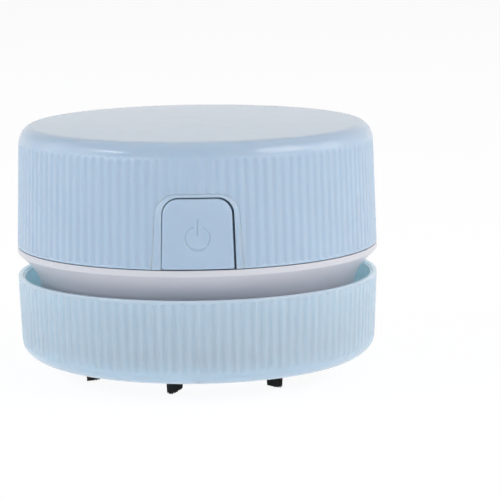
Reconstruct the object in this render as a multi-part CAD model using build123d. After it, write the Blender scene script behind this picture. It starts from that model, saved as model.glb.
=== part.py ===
from build123d import *

import math
import os

# A desktop mini vacuum cleaner, as separate parts. Millimetres, +Z up.
# The origin is on the desk under the middle of the cleaner, where the bristles touch it.
# The power button faces -Y.

# ---- Outer form -------------------------------------------------------------------------
BODY_RADIUS = 43.0  # at the seam, the lip and the rim of the bin
HOUSING_HEIGHT = 29.3  # seam to the middle of the top
HOUSING_DRAFT = 0.73  # how far the wall leans in between seam and shoulder
SHOULDER_WIDTH = 3.4
SHOULDER_HEIGHT = 4.74
TOP_CROWN = 0.56  # how far the top bulges above the shoulder
LIP_DEPTH = 2.55  # seam to the lip's lower corner
LIP_ROUND = 1.2
LIP_UNDERCUT = 2.4  # fall of the lip's sloping underside
NECK_RADIUS = 39.3  # where the neck meets the lip's underside
NECK_ROUND = 1.5
NECK_LENGTH = 5.15  # from there down to the waist
WAIST_RADIUS = 37.6
EXHAUST_GAP = 4.35  # bin's rim to the lip's lower corner
BIN_HEIGHT = 20.4
BIN_DRAFT = 0.6
BIN_ROUND_WIDTH = 6.8
BIN_ROUND_HEIGHT = 5.15
BRISTLE_REACH = 4.2  # bristles below the bin

# ---- Walls ------------------------------------------------------------------------------
HOUSING_WALL = 1.7
LIP_WALL = 1.8
NECK_WALL = 1.7
SKIRT_WALL = 1.7
BIN_WALL = 1.6
BIN_RIM_WALL = 1.1
BIN_RIM_STEP = 0.6  # height of the thinner rim
DECK_THICKNESS = 2.0
TRAY_THICKNESS = 1.5
RIB = 1.2  # thin inner walls and ribs
EDGE_ROUND = 0.3

# ---- Flutes round both shells -----------------------------------------------------------
FLUTES = 120
FLUTE_DEPTH = 0.28
FLUTE_WIDTH = 1.4  # at the wall's surface
FLUTE_FLOOR = 0.5  # flat at the bottom of a flute
HOUSING_BAND = 0.7  # smooth band above the seam
BIN_BAND = 0.9  # smooth band below the rim

# ---- Power button and the smooth pad round it --------------------------------------------
BUTTON_HEAD_WIDTH = 15.6
BUTTON_FOOT_WIDTH = 16.6
BUTTON_HEIGHT = 15.85
BUTTON_FOOT_GAP = 0.25  # button to the lip below it
BUTTON_CORNER = 3.6
BUTTON_GAP = 0.35
BUTTON_TRAVEL = 1.5
BUTTON_EDGE = 0.3
PAD_PROUD = 0.15
PAD_TOP_BORDER = 0.8  # past the button's gap
PAD_SIDE_BORDER = 1.1
PAD_FOOT_FLARE = 0.8  # how much wider that border is at the foot
FLANGE_REACH = 1.0
FLANGE_THICKNESS = 0.9

# ---- Clearances -------------------------------------------------------------------------
HOUSING_CLEARANCE = 0.3  # lift-off fit of the housing over what it covers
SLIDE_CLEARANCE = 0.2  # moulded parts that slide or turn in each other
SEAT_CLEARANCE = 0.1  # fixed parts that drop into a seat
SHAFT_CLEARANCE = 0.03  # radial, shaft in bearing
SCREW_CLEARANCE = 0.02

# ---- Fan --------------------------------------------------------------------------------
DUST_DEPTH = 6.2  # floor of the bin to the filter holder
HOLDER_THICKNESS = 1.4
LUG_LIFT = 1.1  # skirt's edge to the lug
LUG_HEIGHT = 1.0
LUG_ARC = 10.0
LUG_REACH = 1.45
LUGS = 3
TWIST_ANGLE = 20.0
COLLAR_WALL = 1.5
PLATE_GAP = 0.4  # holder's collar to the fan plate
PLATE_THICKNESS = 1.2
EYE_RADIUS = 14.0
FAN_GAP = 0.5  # fan plate to the blades
BLADE_HEIGHT = 3.0
BLADE_THICKNESS = 0.9
BLADES = 9
FAN_DISC = 0.8
FAN_RADIUS = 25.0
HUB_RADIUS = 3.5
DECK_GAP = 0.6  # impeller to the deck
EXHAUST_SLOTS = 30
SLOT_WIDTH = 4.4
FAN_SCREW_CIRCLE = 31.0
FAN_SCREWS = 3

# ---- Filter -----------------------------------------------------------------------------
FILTER_OPENING = 33.0
MESH_THICKNESS = 0.4
SPOKES = 6
SPOKE_WIDTH = 1.4
FILTER_HUB = 5.0
SEAL_GROOVE = 0.8
SEAL_HEIGHT = 0.6
SEAL_GAP = 0.15  # seal's lip to the bin's wall
TOOTH_LENGTH = 1.5  # teeth below the holder that take the bin's ribs between them

# ---- Bin, brush ring and bristles ---------------------------------------------------------
INLET_RADIUS = 9.0
CHIMNEY_HEIGHT = 3.4  # above the bin's floor
BIN_RIBS = 6
BIN_RIB_START = 30.0
BIN_RIB_WIDTH = 2.4
BRUSH_CIRCLE = 27.8
BRUSH_RING_WIDTH = 6.2
BRUSH_RING_THICKNESS = 1.4
TUFTS = 7
TUFT_TURN = -12.0  # from the front to the nearest tuft
TUFT_RADIUS = 1.95
TUFT_FLARE = 0.15

# ---- Motor, a flat-sided can that stands on the deck -------------------------------------
MOTOR_WIDTH = 20.0
MOTOR_DEPTH = 15.2
CAN_LENGTH = 20.5
CAN_WALL = 0.8
CAP_LENGTH = 4.5
CAP_SPIGOT = 1.0
BOSS_RADIUS = 3.1
BOSS_LENGTH = 1.6
BUSH_RADIUS = 2.4
SHAFT_RADIUS = 1.0
MAGNET_THICKNESS = 2.0
MAGNET_ARC = 100.0
MAGNET_LENGTH = 14.0
ROTOR_RADIUS = 6.8
CORE_LENGTH = 11.0
CORE_STEM = 2.4
CORE_SHOE = 1.0
CORE_HUB = 2.2
POLES = 3
WINDING_WIDTH = 5.0
WINDING_OVERHANG = 1.0
COMMUTATOR_RADIUS = 2.6
COMMUTATOR_LENGTH = 3.0
BRUSH_BLOCK = 1.2
TERMINAL_X = 6.5
TERMINAL_THICKNESS = 0.4
TERMINAL_WIDTH = 2.4
TERMINAL_REACH = 3.2
CLAMP_THICKNESS = 1.4
CLAMP_WIDTH = 8.0
POST_WIDTH = 5.0

# ---- Cells, two of size AA ----------------------------------------------------------------
CELL_RADIUS = 7.25
CELL_LENGTH = 50.5  # with the nub
NUB_RADIUS = 2.75
NUB_LENGTH = 1.0
CELL_CLEARANCE = 0.15
CELL_RAISE = 0.6  # lowest point of the cradle above the tray
CRADLE_RIB = 1.6
CRADLE_SPACING = 17.0
SPRING_LENGTH = 2.6
SPRING_WIRE = 0.3  # radius of the wire
SPRING_RADIUS = 3.2
SPRING_TURNS = 2.5
CONTACT_SIZE = 10.0
CONTACT_THICKNESS = 0.4
BRIDGE_HEIGHT = 4.0

# ---- Switch -----------------------------------------------------------------------------
SWITCH_RAISE = 8.0  # its middle above the seam
SWITCH_SIZE = 8.0
SWITCH_LENGTH = 9.0
PLUNGER_RADIUS = 1.6
PLUNGER_DEPTH = 2.0  # inside the switch at rest
SOCKET_WALL = 1.2
SOCKET_LENGTH = 3.0
RETURN_ROOM = 4.5  # socket to switch, where the return spring is
RETURN_WIRE = 0.25
RETURN_TURNS = 4
RAIL_HEIGHT = 6.8
RAIL_GRIP = 6.0  # length of the rails inside their guides
BARB = 0.8

# ---- Screws -----------------------------------------------------------------------------
SCREW_RADIUS = 1.15
SCREW_HEAD_RADIUS = 2.2
SCREW_HEAD_HEIGHT = 1.2
SCREW_BITE = 5.0
SCREW_CROSS = 0.6
BOSS_WALL = 1.3
TRAY_SCREW_X = 12.5

# Wires
WIRE_RADIUS = 0.6
WIRE_RISE = 11.3  # highest bend of the motor's wires, above the switch's middle

# ---- Heights, worked out upwards from the desk ---------------------------------------------
Z_BIN = BRISTLE_REACH
Z_RIM = Z_BIN + BIN_HEIGHT
Z_LIP = Z_RIM + EXHAUST_GAP
Z_SEAM = Z_LIP + LIP_DEPTH
Z_TOP = Z_SEAM + HOUSING_HEIGHT
Z_BROW = Z_TOP - TOP_CROWN
Z_SHOULDER = Z_BROW - SHOULDER_HEIGHT
Z_NECK = Z_LIP - LIP_UNDERCUT
Z_WAIST = Z_NECK - NECK_LENGTH

Z_FLOOR = Z_BIN + BIN_WALL
Z_HOLDER = Z_FLOOR + DUST_DEPTH
Z_SKIRT = Z_HOLDER + HOLDER_THICKNESS
Z_LUG = Z_SKIRT + LUG_LIFT
Z_COLLAR = Z_LUG + LUG_HEIGHT
Z_PLATE = Z_COLLAR + PLATE_GAP
Z_PLATE_TOP = Z_PLATE + PLATE_THICKNESS
Z_BLADES = Z_PLATE_TOP + FAN_GAP
Z_FAN_DISC = Z_BLADES + BLADE_HEIGHT
Z_FAN_TOP = Z_FAN_DISC + FAN_DISC
Z_DECK = Z_FAN_TOP + DECK_GAP
Z_MOTOR = Z_DECK + DECK_THICKNESS
Z_CAN_TOP = Z_MOTOR + CAN_LENGTH
Z_MOTOR_TOP = Z_CAN_TOP + CAP_LENGTH
Z_CORE = Z_MOTOR + CAN_LENGTH / 2 - CORE_LENGTH / 2
Z_COMMUTATOR = Z_CORE + CORE_LENGTH + 2 * WINDING_OVERHANG

Z_TRAY = Z_SEAM - TRAY_THICKNESS
Z_CELL = Z_SEAM + CELL_RAISE + CELL_CLEARANCE + CELL_RADIUS
Z_SWITCH = Z_SEAM + SWITCH_RAISE
Z_SWITCH_SEAT = Z_SWITCH - SWITCH_SIZE / 2
Z_BUTTON = Z_SEAM + BUTTON_FOOT_GAP
Z_BUTTON_TOP = Z_BUTTON + BUTTON_HEIGHT

# ---- Radii and places -----------------------------------------------------------------------
SHOULDER_RADIUS = BODY_RADIUS - HOUSING_DRAFT
BIN_FOOT_RADIUS = BODY_RADIUS - BIN_DRAFT
LIP_BORE = BODY_RADIUS - LIP_WALL
TRAY_RADIUS = LIP_BORE - SEAT_CLEARANCE
SPIGOT_RADIUS = BODY_RADIUS - HOUSING_WALL - HOUSING_CLEARANCE
SKIRT_BORE = WAIST_RADIUS - SKIRT_WALL
COLLAR_RADIUS = SKIRT_BORE - SLIDE_CLEARANCE
PLATE_RADIUS = SKIRT_BORE - SEAT_CLEARANCE
BRUSH_INNER = BRUSH_CIRCLE - BRUSH_RING_WIDTH / 2
BRUSH_OUTER = BRUSH_CIRCLE + BRUSH_RING_WIDTH / 2
CHIMNEY_RADIUS = INLET_RADIUS + RIB

WINDOW_X = MOTOR_WIDTH / 2 + SLIDE_CLEARANCE
WINDOW_Y = MOTOR_DEPTH / 2 + SLIDE_CLEARANCE
CRADLE_RADIUS = CELL_RADIUS + CELL_CLEARANCE
CELL_X = WINDOW_X + RIB + CRADLE_RADIUS
BAY_END = (CELL_LENGTH + SPRING_LENGTH) / 2 + CONTACT_THICKNESS
POST_Y = WINDOW_Y + RIB + POST_WIDTH / 2
BOSS_OUTER = SCREW_RADIUS + BOSS_WALL
TRAY_SCREW_Y = BAY_END + RIB + SCREW_HEAD_RADIUS + SLIDE_CLEARANCE
FLANGE_INSET = HOUSING_WALL + HOUSING_CLEARANCE
BUTTON_INSET = FLANGE_INSET + FLANGE_THICKNESS

FRONT = 270.0  # direction of -Y about Z
ON_BASE = (Align.CENTER, Align.CENTER, Align.MIN)


# ---- Helpers --------------------------------------------------------------------------------
def disc(radius, low, high):
    """A round plate or rod about Z between two heights."""
    return Pos(0, 0, low) * Cylinder(radius, high - low, align=ON_BASE)


def ring(inner, outer, low, high):
    """A flat ring about Z between two heights."""
    return disc(outer, low, high) - disc(inner, low, high)


def sector(inner, outer, low, high, start, sweep):
    """Part of such a ring, from a start angle over a sweep in degrees."""
    section = Pos((inner + outer) / 2, (low + high) / 2) * Rectangle(outer - inner, high - low)
    return Rot(0, 0, start) * revolve(Plane.XZ * section, Axis.Z, sweep)


def block(x, y, z):
    """A box given by its low and high value along each axis."""
    size = Box(x[1] - x[0], y[1] - y[0], z[1] - z[0])
    return Pos(sum(x) / 2, sum(y) / 2, sum(z) / 2) * size


def rod_y(radius, x, z, start, end):
    """A rod along Y between two places."""
    return Pos(x, (start + end) / 2, z) * Rot(90, 0, 0) * Cylinder(radius, end - start)


def turned(*edges):
    """A solid turned about Z, from half section edges drawn as (radius, height)."""
    return revolve(Plane.XZ * make_face([edge for part in edges for edge in part.edges()]), Axis.Z)


def around(shape, count, start=0.0):
    """Copies of a shape, evenly spaced about Z."""
    return [Rot(0, 0, start + index * 360 / count) * shape for index in range(count)]


def group(*shapes):
    """Separate solids that make one node."""
    return Compound([solid for shape in shapes for solid in shape.solids()])


def screw(bite):
    """A pan-head screw whose head sits on the origin, with its shank going down."""
    head = disc(SCREW_HEAD_RADIUS, 0, SCREW_HEAD_HEIGHT)
    head = fillet(head.edges().group_by(Axis.Z)[-1], SCREW_HEAD_HEIGHT / 2)
    reach = SCREW_HEAD_RADIUS * 0.6
    half = SCREW_CROSS / 2
    arm = block((-reach, reach), (-half, half), (SCREW_HEAD_HEIGHT / 2, SCREW_HEAD_HEIGHT))
    head -= around(arm, 4)[:2]
    return head + disc(SCREW_RADIUS, -bite, 0)


# ---- Housing, pad and button ------------------------------------------------------------------
def housing_radius(z):
    """Outer radius of the housing's leaning wall at a height."""
    return BODY_RADIUS - HOUSING_DRAFT * (z - Z_SEAM) / (Z_SHOULDER - Z_SEAM)


def wall_band(inset, proud, low, high):
    """A ring that follows the housing's wall, from an inset to a proud face."""
    corners = [
        (housing_radius(low) - inset, low),
        (housing_radius(low) + proud, low),
        (housing_radius(high) + proud, high),
        (housing_radius(high) - inset, high),
    ]
    return turned(Polyline(*corners, close=True))


def housing_form(inset):
    """The housing's outer form as a solid, drawn in by an inset."""
    corner = (SHOULDER_RADIUS - SHOULDER_WIDTH, Z_SHOULDER)
    wall = Polyline((0, Z_SEAM), (BODY_RADIUS - inset, Z_SEAM), (SHOULDER_RADIUS - inset, Z_SHOULDER))
    width = SHOULDER_WIDTH - inset
    shoulder = EllipticalCenterArc(corner, width, SHOULDER_HEIGHT - inset, 0, arc_size=90)
    crown = TangentArc((0, Z_TOP - inset), (corner[0], Z_BROW - inset), tangent=(1, 0))
    axis = Line((0, Z_TOP - inset), (0, Z_SEAM))
    return turned(wall, shoulder, crown, axis)


def flute_cutters(foot, head, first_angle):
    """Cutters with sloping sides laid along a wall, from its foot to its head, both (radius, height)."""
    run_in = foot[0] - head[0]
    rise = head[1] - foot[1]
    lean = math.degrees(math.atan2(run_in, rise))
    proud = FLUTE_DEPTH / 2
    mouth = FLUTE_WIDTH + (FLUTE_WIDTH - FLUTE_FLOOR) * proud / FLUTE_DEPTH
    floor = FLUTE_FLOOR / 2
    corners = [(-FLUTE_DEPTH, floor), (proud, mouth / 2), (proud, -mouth / 2), (-FLUTE_DEPTH, -floor)]
    cutter = extrude(make_face(Polyline(*corners, close=True)), math.hypot(run_in, rise), dir=(0, 0, 1))
    return around(Pos(foot[0], 0, foot[1]) * Rot(0, -lean, 0) * cutter, FLUTES, first_angle)


def front_prism(side, foot_flare, top, foot, corner):
    """The button's outline, grown at its sides and top, as a prism through the front wall."""
    half_foot = BUTTON_FOOT_WIDTH / 2 + side + foot_flare
    half_head = BUTTON_HEAD_WIDTH / 2 + side
    high = Z_BUTTON_TOP + top
    corners = [(-half_foot, foot), (half_foot, foot), (half_head, high), (-half_head, high)]
    face = make_face(Polyline(*corners, close=True))
    face = fillet(face.vertices().group_by(Axis.Y)[-1], corner)
    depth = 3 * BUTTON_INSET
    return extrude(Plane.XZ.offset(BODY_RADIUS + BUTTON_TRAVEL - depth) * face, depth)


def top_housing():
    """Ribbed cap over the motor and the cells, open below, with a notch for the button."""
    cutters = flute_cutters(
        (housing_radius(Z_SEAM + HOUSING_BAND), Z_SEAM + HOUSING_BAND),
        (housing_radius(Z_BROW), Z_BROW),
        FRONT,
    )
    shell = housing_form(0)
    shell = fillet(shell.edges().group_by(Axis.Z)[0], EDGE_ROUND)
    shell = shell - cutters - housing_form(HOUSING_WALL)
    pad_side = BUTTON_GAP + PAD_SIDE_BORDER
    pad_top = BUTTON_GAP + PAD_TOP_BORDER
    pad = front_prism(pad_side, PAD_FOOT_FLARE, pad_top, Z_SEAM + EDGE_ROUND, BUTTON_CORNER + pad_top)
    shell += pad & wall_band(HOUSING_WALL, PAD_PROUD, Z_SEAM, Z_BUTTON_TOP + 2 * pad_top)
    shell -= front_prism(BUTTON_GAP, 0, BUTTON_GAP, Z_SEAM - 1, BUTTON_CORNER + BUTTON_GAP)
    for side in (-1, 1):
        for y in (-CRADLE_SPACING / 2, CRADLE_SPACING / 2):
            shell += hold_down(side * CELL_X, y)
    return shell


def hold_down(x, y):
    """A rib under the housing's top that stands just over a cell and keeps it in its cradle."""
    half = CELL_RADIUS * 0.75
    rib = block((x - half, x + half), (y - RIB / 2, y + RIB / 2), (Z_CELL, Z_BROW - HOUSING_WALL / 2))
    return rib - rod_y(CELL_RADIUS + HOUSING_CLEARANCE, x, Z_CELL, y - RIB, y + RIB)


def rail_places():
    """Inner and outer face of the button's right rail, across."""
    inner = SWITCH_SIZE / 2 + SEAT_CLEARANCE + RIB + SLIDE_CLEARANCE
    return inner, inner + RIB


def button_back():
    """How far the button's inner face is from the middle, at the switch's height."""
    return housing_radius(Z_SWITCH) - BUTTON_INSET


def switch_front():
    """Where the switch's front face is, along Y."""
    return -(button_back() - SOCKET_LENGTH - RETURN_ROOM)


def power_button():
    """Cap, retaining flange, guide rails and the socket that holds the switch's plunger."""
    cap = front_prism(0, 0, 0, Z_BUTTON, BUTTON_CORNER)
    cap &= wall_band(BUTTON_INSET, PAD_PROUD, Z_SEAM, Z_BUTTON_TOP + 1)
    face_edges = cap.faces().sort_by(Axis.Y)[0].edges()
    cap = fillet(face_edges, BUTTON_EDGE)
    reach = BUTTON_GAP + FLANGE_REACH
    flange = front_prism(reach, 0, reach, Z_BUTTON, BUTTON_CORNER + reach)
    flange &= wall_band(BUTTON_INSET, -FLANGE_INSET, Z_SEAM, Z_BUTTON_TOP + 2 * reach)
    inner, outer = rail_places()
    rear = switch_front() + RAIL_GRIP
    low = Z_SWITCH_SEAT + SLIDE_CLEARANCE
    body = cap + flange
    for side in (-1, 1):
        rail_x = sorted((side * inner, side * outer))
        barb_x = sorted((side * inner, side * (outer + BARB)))
        body += block(rail_x, (-button_back() - FLANGE_THICKNESS / 2, rear), (low, low + RAIL_HEIGHT))
        body += block(barb_x, (rear - RIB, rear), (low, low + RAIL_HEIGHT))
    start = -button_back()
    end = start + SOCKET_LENGTH
    body += rod_y(PLUNGER_RADIUS + SOCKET_WALL, 0, Z_SWITCH, start - FLANGE_THICKNESS / 2, end)
    return body - rod_y(PLUNGER_RADIUS + SCREW_CLEARANCE, 0, Z_SWITCH, start, end)


# ---- Switch -------------------------------------------------------------------------------------
def switch_plunger():
    """Rod from the button's socket into the switch."""
    return rod_y(PLUNGER_RADIUS, 0, Z_SWITCH, -button_back(), switch_front() + PLUNGER_DEPTH)


def switch_body():
    """Square push switch with a bore for its plunger and two solder tabs behind."""
    half = SWITCH_SIZE / 2
    front = switch_front()
    rear = front + SWITCH_LENGTH
    body = block((-half, half), (front, rear), (Z_SWITCH - half, Z_SWITCH + half))
    bore_end = front + PLUNGER_DEPTH + BUTTON_TRAVEL + SLIDE_CLEARANCE
    body -= rod_y(PLUNGER_RADIUS + SLIDE_CLEARANCE, 0, Z_SWITCH, front, bore_end)
    for x in (-half / 2, half / 2):
        tab_x = (x - TERMINAL_WIDTH / 4, x + TERMINAL_WIDTH / 4)
        body += block(tab_x, (rear, rear + TERMINAL_REACH), (Z_SWITCH, Z_SWITCH + TERMINAL_THICKNESS))
    return body


def switch_spring():
    """Return spring round the plunger, between the switch and the button's socket."""
    front = switch_front()
    length = RETURN_ROOM - 2 * RETURN_WIRE - 2 * SCREW_CLEARANCE
    radius = PLUNGER_RADIUS + SLIDE_CLEARANCE + 2 * RETURN_WIRE
    start = (0, front - RETURN_WIRE - SCREW_CLEARANCE, Z_SWITCH)
    coil = Helix(length / RETURN_TURNS, length, radius, center=start, direction=(0, -1, 0))
    return sweep(Plane(coil @ 0, z_dir=coil % 0) * Circle(RETURN_WIRE), path=coil, is_frenet=True)


# ---- Neck -----------------------------------------------------------------------------------------
def neck_frame():
    """White moulding: lip, neck and skirt, with the deck that carries the motor."""
    outline = FilletPolyline(
        (0, Z_SEAM),
        (BODY_RADIUS, Z_SEAM),
        (BODY_RADIUS, Z_LIP),
        (NECK_RADIUS, Z_NECK),
        (WAIST_RADIUS, Z_WAIST),
        (WAIST_RADIUS, Z_SKIRT),
        (0, Z_SKIRT),
        radius=[EDGE_ROUND / 2, LIP_ROUND, NECK_ROUND, NECK_ROUND, EDGE_ROUND],
    )
    frame = turned(outline, Line((0, Z_SKIRT), (0, Z_SEAM)))
    shelf = Z_TRAY - SEAT_CLEARANCE
    bore = NECK_RADIUS - NECK_WALL
    slope = LIP_UNDERCUT / (BODY_RADIUS - NECK_RADIUS)
    foot = WAIST_RADIUS + (NECK_RADIUS - WAIST_RADIUS) * (Z_MOTOR - Z_WAIST) / NECK_LENGTH - NECK_WALL
    frame -= turned(Polyline(
        (0, Z_MOTOR),
        (foot, Z_MOTOR),
        (bore, shelf - slope * (LIP_BORE - bore)),
        (LIP_BORE, shelf),
        (LIP_BORE, Z_SEAM + 1),
        (0, Z_SEAM + 1),
        close=True,
    ))
    frame -= disc(SKIRT_BORE, Z_SKIRT, Z_DECK)
    frame += [tray_boss(x, y) for x, y in tray_screw_places()]
    frame += fan_bosses()
    frame += motor_seat()
    frame -= disc(BOSS_RADIUS + SEAT_CLEARANCE, Z_DECK, Z_MOTOR)
    frame -= around(exhaust_slot(), EXHAUST_SLOTS)
    for cut in bayonet_slots():
        frame -= cut
    return frame


def tray_screw_places():
    """Where the four screws of the tray are, as (x, y)."""
    return [(x, y) for x in (-TRAY_SCREW_X, TRAY_SCREW_X) for y in (-TRAY_SCREW_Y, TRAY_SCREW_Y)]


def tray_boss(x, y):
    """Boss on the deck that carries the tray and takes one of its screws."""
    boss = disc(BOSS_OUTER, Z_MOTOR - DECK_THICKNESS / 2, Z_TRAY)
    pilot = disc(SCREW_RADIUS + SCREW_CLEARANCE, Z_TRAY - SCREW_BITE, Z_TRAY)
    return Pos(x, y, 0) * (boss - pilot)


def fan_bosses():
    """Bosses under the deck that carry the fan plate."""
    boss = disc(BOSS_OUTER, Z_PLATE_TOP, Z_DECK + DECK_THICKNESS / 2)
    pilot = disc(SCREW_RADIUS + SCREW_CLEARANCE, Z_PLATE_TOP, Z_DECK)
    return around(Pos(FAN_SCREW_CIRCLE, 0, 0) * (boss - pilot), FAN_SCREWS, 90)


def can_face(inset):
    """Section of the motor: round, with two flat sides."""
    return Circle(MOTOR_WIDTH / 2 - inset) & Rectangle(MOTOR_WIDTH, MOTOR_DEPTH - 2 * inset)


def can_solid(inset, low, high):
    """The motor's section as a solid between two heights."""
    return extrude(Pos(0, 0, low) * can_face(inset), high - low)


def motor_seat():
    """Low wall on the deck that keeps the motor from shifting."""
    low = Z_MOTOR - DECK_THICKNESS / 2
    high = Z_MOTOR + 2 * RIB
    return can_solid(-SEAT_CLEARANCE - RIB, low, high) - can_solid(-SEAT_CLEARANCE, low, high)


def exhaust_slot():
    """Opening in the skirt beside the impeller."""
    low = Z_PLATE_TOP + SLIDE_CLEARANCE
    high = Z_FAN_TOP - SLIDE_CLEARANCE
    return block((SKIRT_BORE - RIB, WAIST_RADIUS + RIB), (-SLOT_WIDTH / 2, SLOT_WIDTH / 2), (low, high))


def bayonet_slots():
    """L-shaped slots in the skirt: an entry at its lower edge, and a level run to the lock."""
    inner = SKIRT_BORE - RIB
    outer = WAIST_RADIUS + RIB
    play = math.degrees(SLIDE_CLEARANCE / SKIRT_BORE)
    arc = LUG_ARC + 2 * play
    low = Z_LUG - SLIDE_CLEARANCE
    high = Z_COLLAR + SLIDE_CLEARANCE
    run = sector(inner, outer, low, high, -arc / 2, TWIST_ANGLE + arc)
    entry = sector(inner, outer, Z_SKIRT - RIB, high, TWIST_ANGLE - arc / 2, arc)
    return around(run + entry, LUGS)


# ---- Tray -------------------------------------------------------------------------------------------
def battery_tray():
    """Inner frame on the neck: spigot for the housing, cradles, switch guides and clamp posts."""
    tray = disc(TRAY_RADIUS, Z_TRAY, Z_SEAM)
    tray += ring(SPIGOT_RADIUS - RIB, SPIGOT_RADIUS, Z_SEAM - TRAY_THICKNESS / 2, Z_SEAM + 2 * RIB)
    notch = BUTTON_FOOT_WIDTH / 2 + BUTTON_GAP + FLANGE_REACH + RIB
    tray -= block((-notch, notch), (-BODY_RADIUS, -SPIGOT_RADIUS * 0.75), (Z_SEAM, Z_SEAM + 3 * RIB))
    tray -= extrude(Pos(0, 0, Z_TRAY) * Rectangle(2 * WINDOW_X, 2 * WINDOW_Y), TRAY_THICKNESS)
    for x, y in tray_screw_places():
        tray -= Pos(x, y, 0) * disc(SCREW_RADIUS + SEAT_CLEARANCE, Z_TRAY, Z_SEAM)
    for side in (-1, 1):
        tray += cradle(side * CELL_X)
        tray += clamp_post(side * POST_Y)
        front_x = sorted((side * (CELL_X - CONTACT_SIZE / 2 - RIB), side * (CELL_X + CONTACT_SIZE / 2 + RIB)))
        tray += block(front_x, (-BAY_END - RIB, -BAY_END), (Z_SEAM, Z_CELL + CONTACT_SIZE / 2))
    rear = CELL_X + CONTACT_SIZE / 2 + RIB
    tray += block((-rear, rear), (BAY_END, BAY_END + RIB), (Z_SEAM, Z_CELL + CONTACT_SIZE / 2))
    return tray + switch_guides()


def cradle(x):
    """Three ribs with a round trough that hold one cell."""
    half = CRADLE_RADIUS + RIB
    ribs = []
    for y in (-CRADLE_SPACING, 0, CRADLE_SPACING):
        ribs.append(block((x - half, x + half), (y - CRADLE_RIB / 2, y + CRADLE_RIB / 2), (Z_SEAM, Z_CELL)))
    trough = rod_y(CRADLE_RADIUS, x, Z_CELL, -CRADLE_SPACING - CRADLE_RIB, CRADLE_SPACING + CRADLE_RIB)
    return [rib - trough for rib in ribs]


def clamp_post(y):
    """Post beside the motor that takes a screw of the clamp."""
    post_y = (y - POST_WIDTH / 2, y + POST_WIDTH / 2)
    post = block((-CLAMP_WIDTH / 2, CLAMP_WIDTH / 2), post_y, (Z_SEAM, Z_MOTOR_TOP))
    pilot = disc(SCREW_RADIUS + SCREW_CLEARANCE, Z_MOTOR_TOP - SCREW_BITE, Z_MOTOR_TOP)
    return post - Pos(0, y, 0) * pilot


def switch_guides():
    """Seat of the switch, with a channel each side for the button's rails."""
    half = SWITCH_SIZE / 2 + SEAT_CLEARANCE
    inner, outer = rail_places()
    wall = outer + SLIDE_CLEARANCE
    front = switch_front()
    rear = front + SWITCH_LENGTH
    top = Z_SWITCH + SWITCH_SIZE / 4
    guides = block((-wall - RIB, wall + RIB), (front, rear + RIB), (Z_SEAM, Z_SWITCH_SEAT))
    for side in (-1, 1):
        near_x = sorted((side * half, side * (half + RIB)))
        far_x = sorted((side * wall, side * (wall + RIB)))
        guides += block(near_x, (front, rear + RIB), (Z_SWITCH_SEAT, top))
        barb_stop = front + RAIL_GRIP - RIB - SLIDE_CLEARANCE
        guides += block(far_x, (front, barb_stop), (Z_SWITCH_SEAT, top))
        stop_x = sorted((side * half, side * (half - RIB)))
        guides += block(stop_x, (rear, rear + RIB), (Z_SWITCH_SEAT, top))
    return guides


# ---- Cells and contacts -----------------------------------------------------------------------------
def cell(side):
    """One cell along Y. The right one has its nub to the front, the left one to the back."""
    shift = -side * SPRING_LENGTH / 2
    start = shift - CELL_LENGTH / 2
    end = shift + CELL_LENGTH / 2
    if side > 0:
        nub = rod_y(NUB_RADIUS, side * CELL_X, Z_CELL, start, start + NUB_LENGTH)
        start += NUB_LENGTH
    else:
        nub = rod_y(NUB_RADIUS, side * CELL_X, Z_CELL, end - NUB_LENGTH, end)
        end -= NUB_LENGTH
    jacket = rod_y(CELL_RADIUS, side * CELL_X, Z_CELL, start, end)
    jacket = fillet(jacket.edges().filter_by(GeomType.CIRCLE), 2 * EDGE_ROUND)
    return jacket + nub


def battery_left():
    """Left cell."""
    return cell(-1)


def battery_right():
    """Right cell."""
    return cell(1)


def cell_spring(x, start, direction):
    """Spring from its foot on a contact to its head on a cell."""
    length = SPRING_LENGTH - 2 * SPRING_WIRE - 2 * SCREW_CLEARANCE
    foot = (x, start + direction * (SPRING_WIRE + SCREW_CLEARANCE), Z_CELL)
    coil = Helix(length / SPRING_TURNS, length, SPRING_RADIUS, center=foot, direction=(0, direction, 0))
    return sweep(Plane(coil @ 0, z_dir=coil % 0) * Circle(SPRING_WIRE), path=coil, is_frenet=True)


def battery_springs():
    """Springs at the flat ends of the cells: left cell at the front, right cell at the back."""
    face = BAY_END - CONTACT_THICKNESS
    return group(cell_spring(-CELL_X, -face, 1), cell_spring(CELL_X, face, -1))


def contact_plate(x, y):
    """Square plate that stands on the tray against an end wall."""
    half = CONTACT_SIZE / 2
    plate_y = sorted((y, y - math.copysign(CONTACT_THICKNESS, y)))
    return block((x - half, x + half), plate_y, (Z_SEAM, Z_CELL + half))


def contact_bridge():
    """Plate behind both cells that joins them."""
    bridge = contact_plate(-CELL_X, BAY_END) + contact_plate(CELL_X, BAY_END)
    strip_z = (Z_CELL - BRIDGE_HEIGHT / 2, Z_CELL + BRIDGE_HEIGHT / 2)
    return bridge + block((-CELL_X, CELL_X), (BAY_END - CONTACT_THICKNESS, BAY_END), strip_z)


def contact_tabs():
    """Plates in front of the cells, each with a solder tail on top."""
    tabs = []
    for side in (-1, 1):
        tail_x = (side * CELL_X - TERMINAL_WIDTH / 2, side * CELL_X + TERMINAL_WIDTH / 2)
        tail_z = (Z_CELL + CONTACT_SIZE / 2, Z_CELL + CONTACT_SIZE / 2 + TERMINAL_REACH)
        tail = block(tail_x, (-BAY_END, -BAY_END + CONTACT_THICKNESS), tail_z)
        tabs.append(contact_plate(side * CELL_X, -BAY_END) + tail)
    return group(*tabs)


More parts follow.
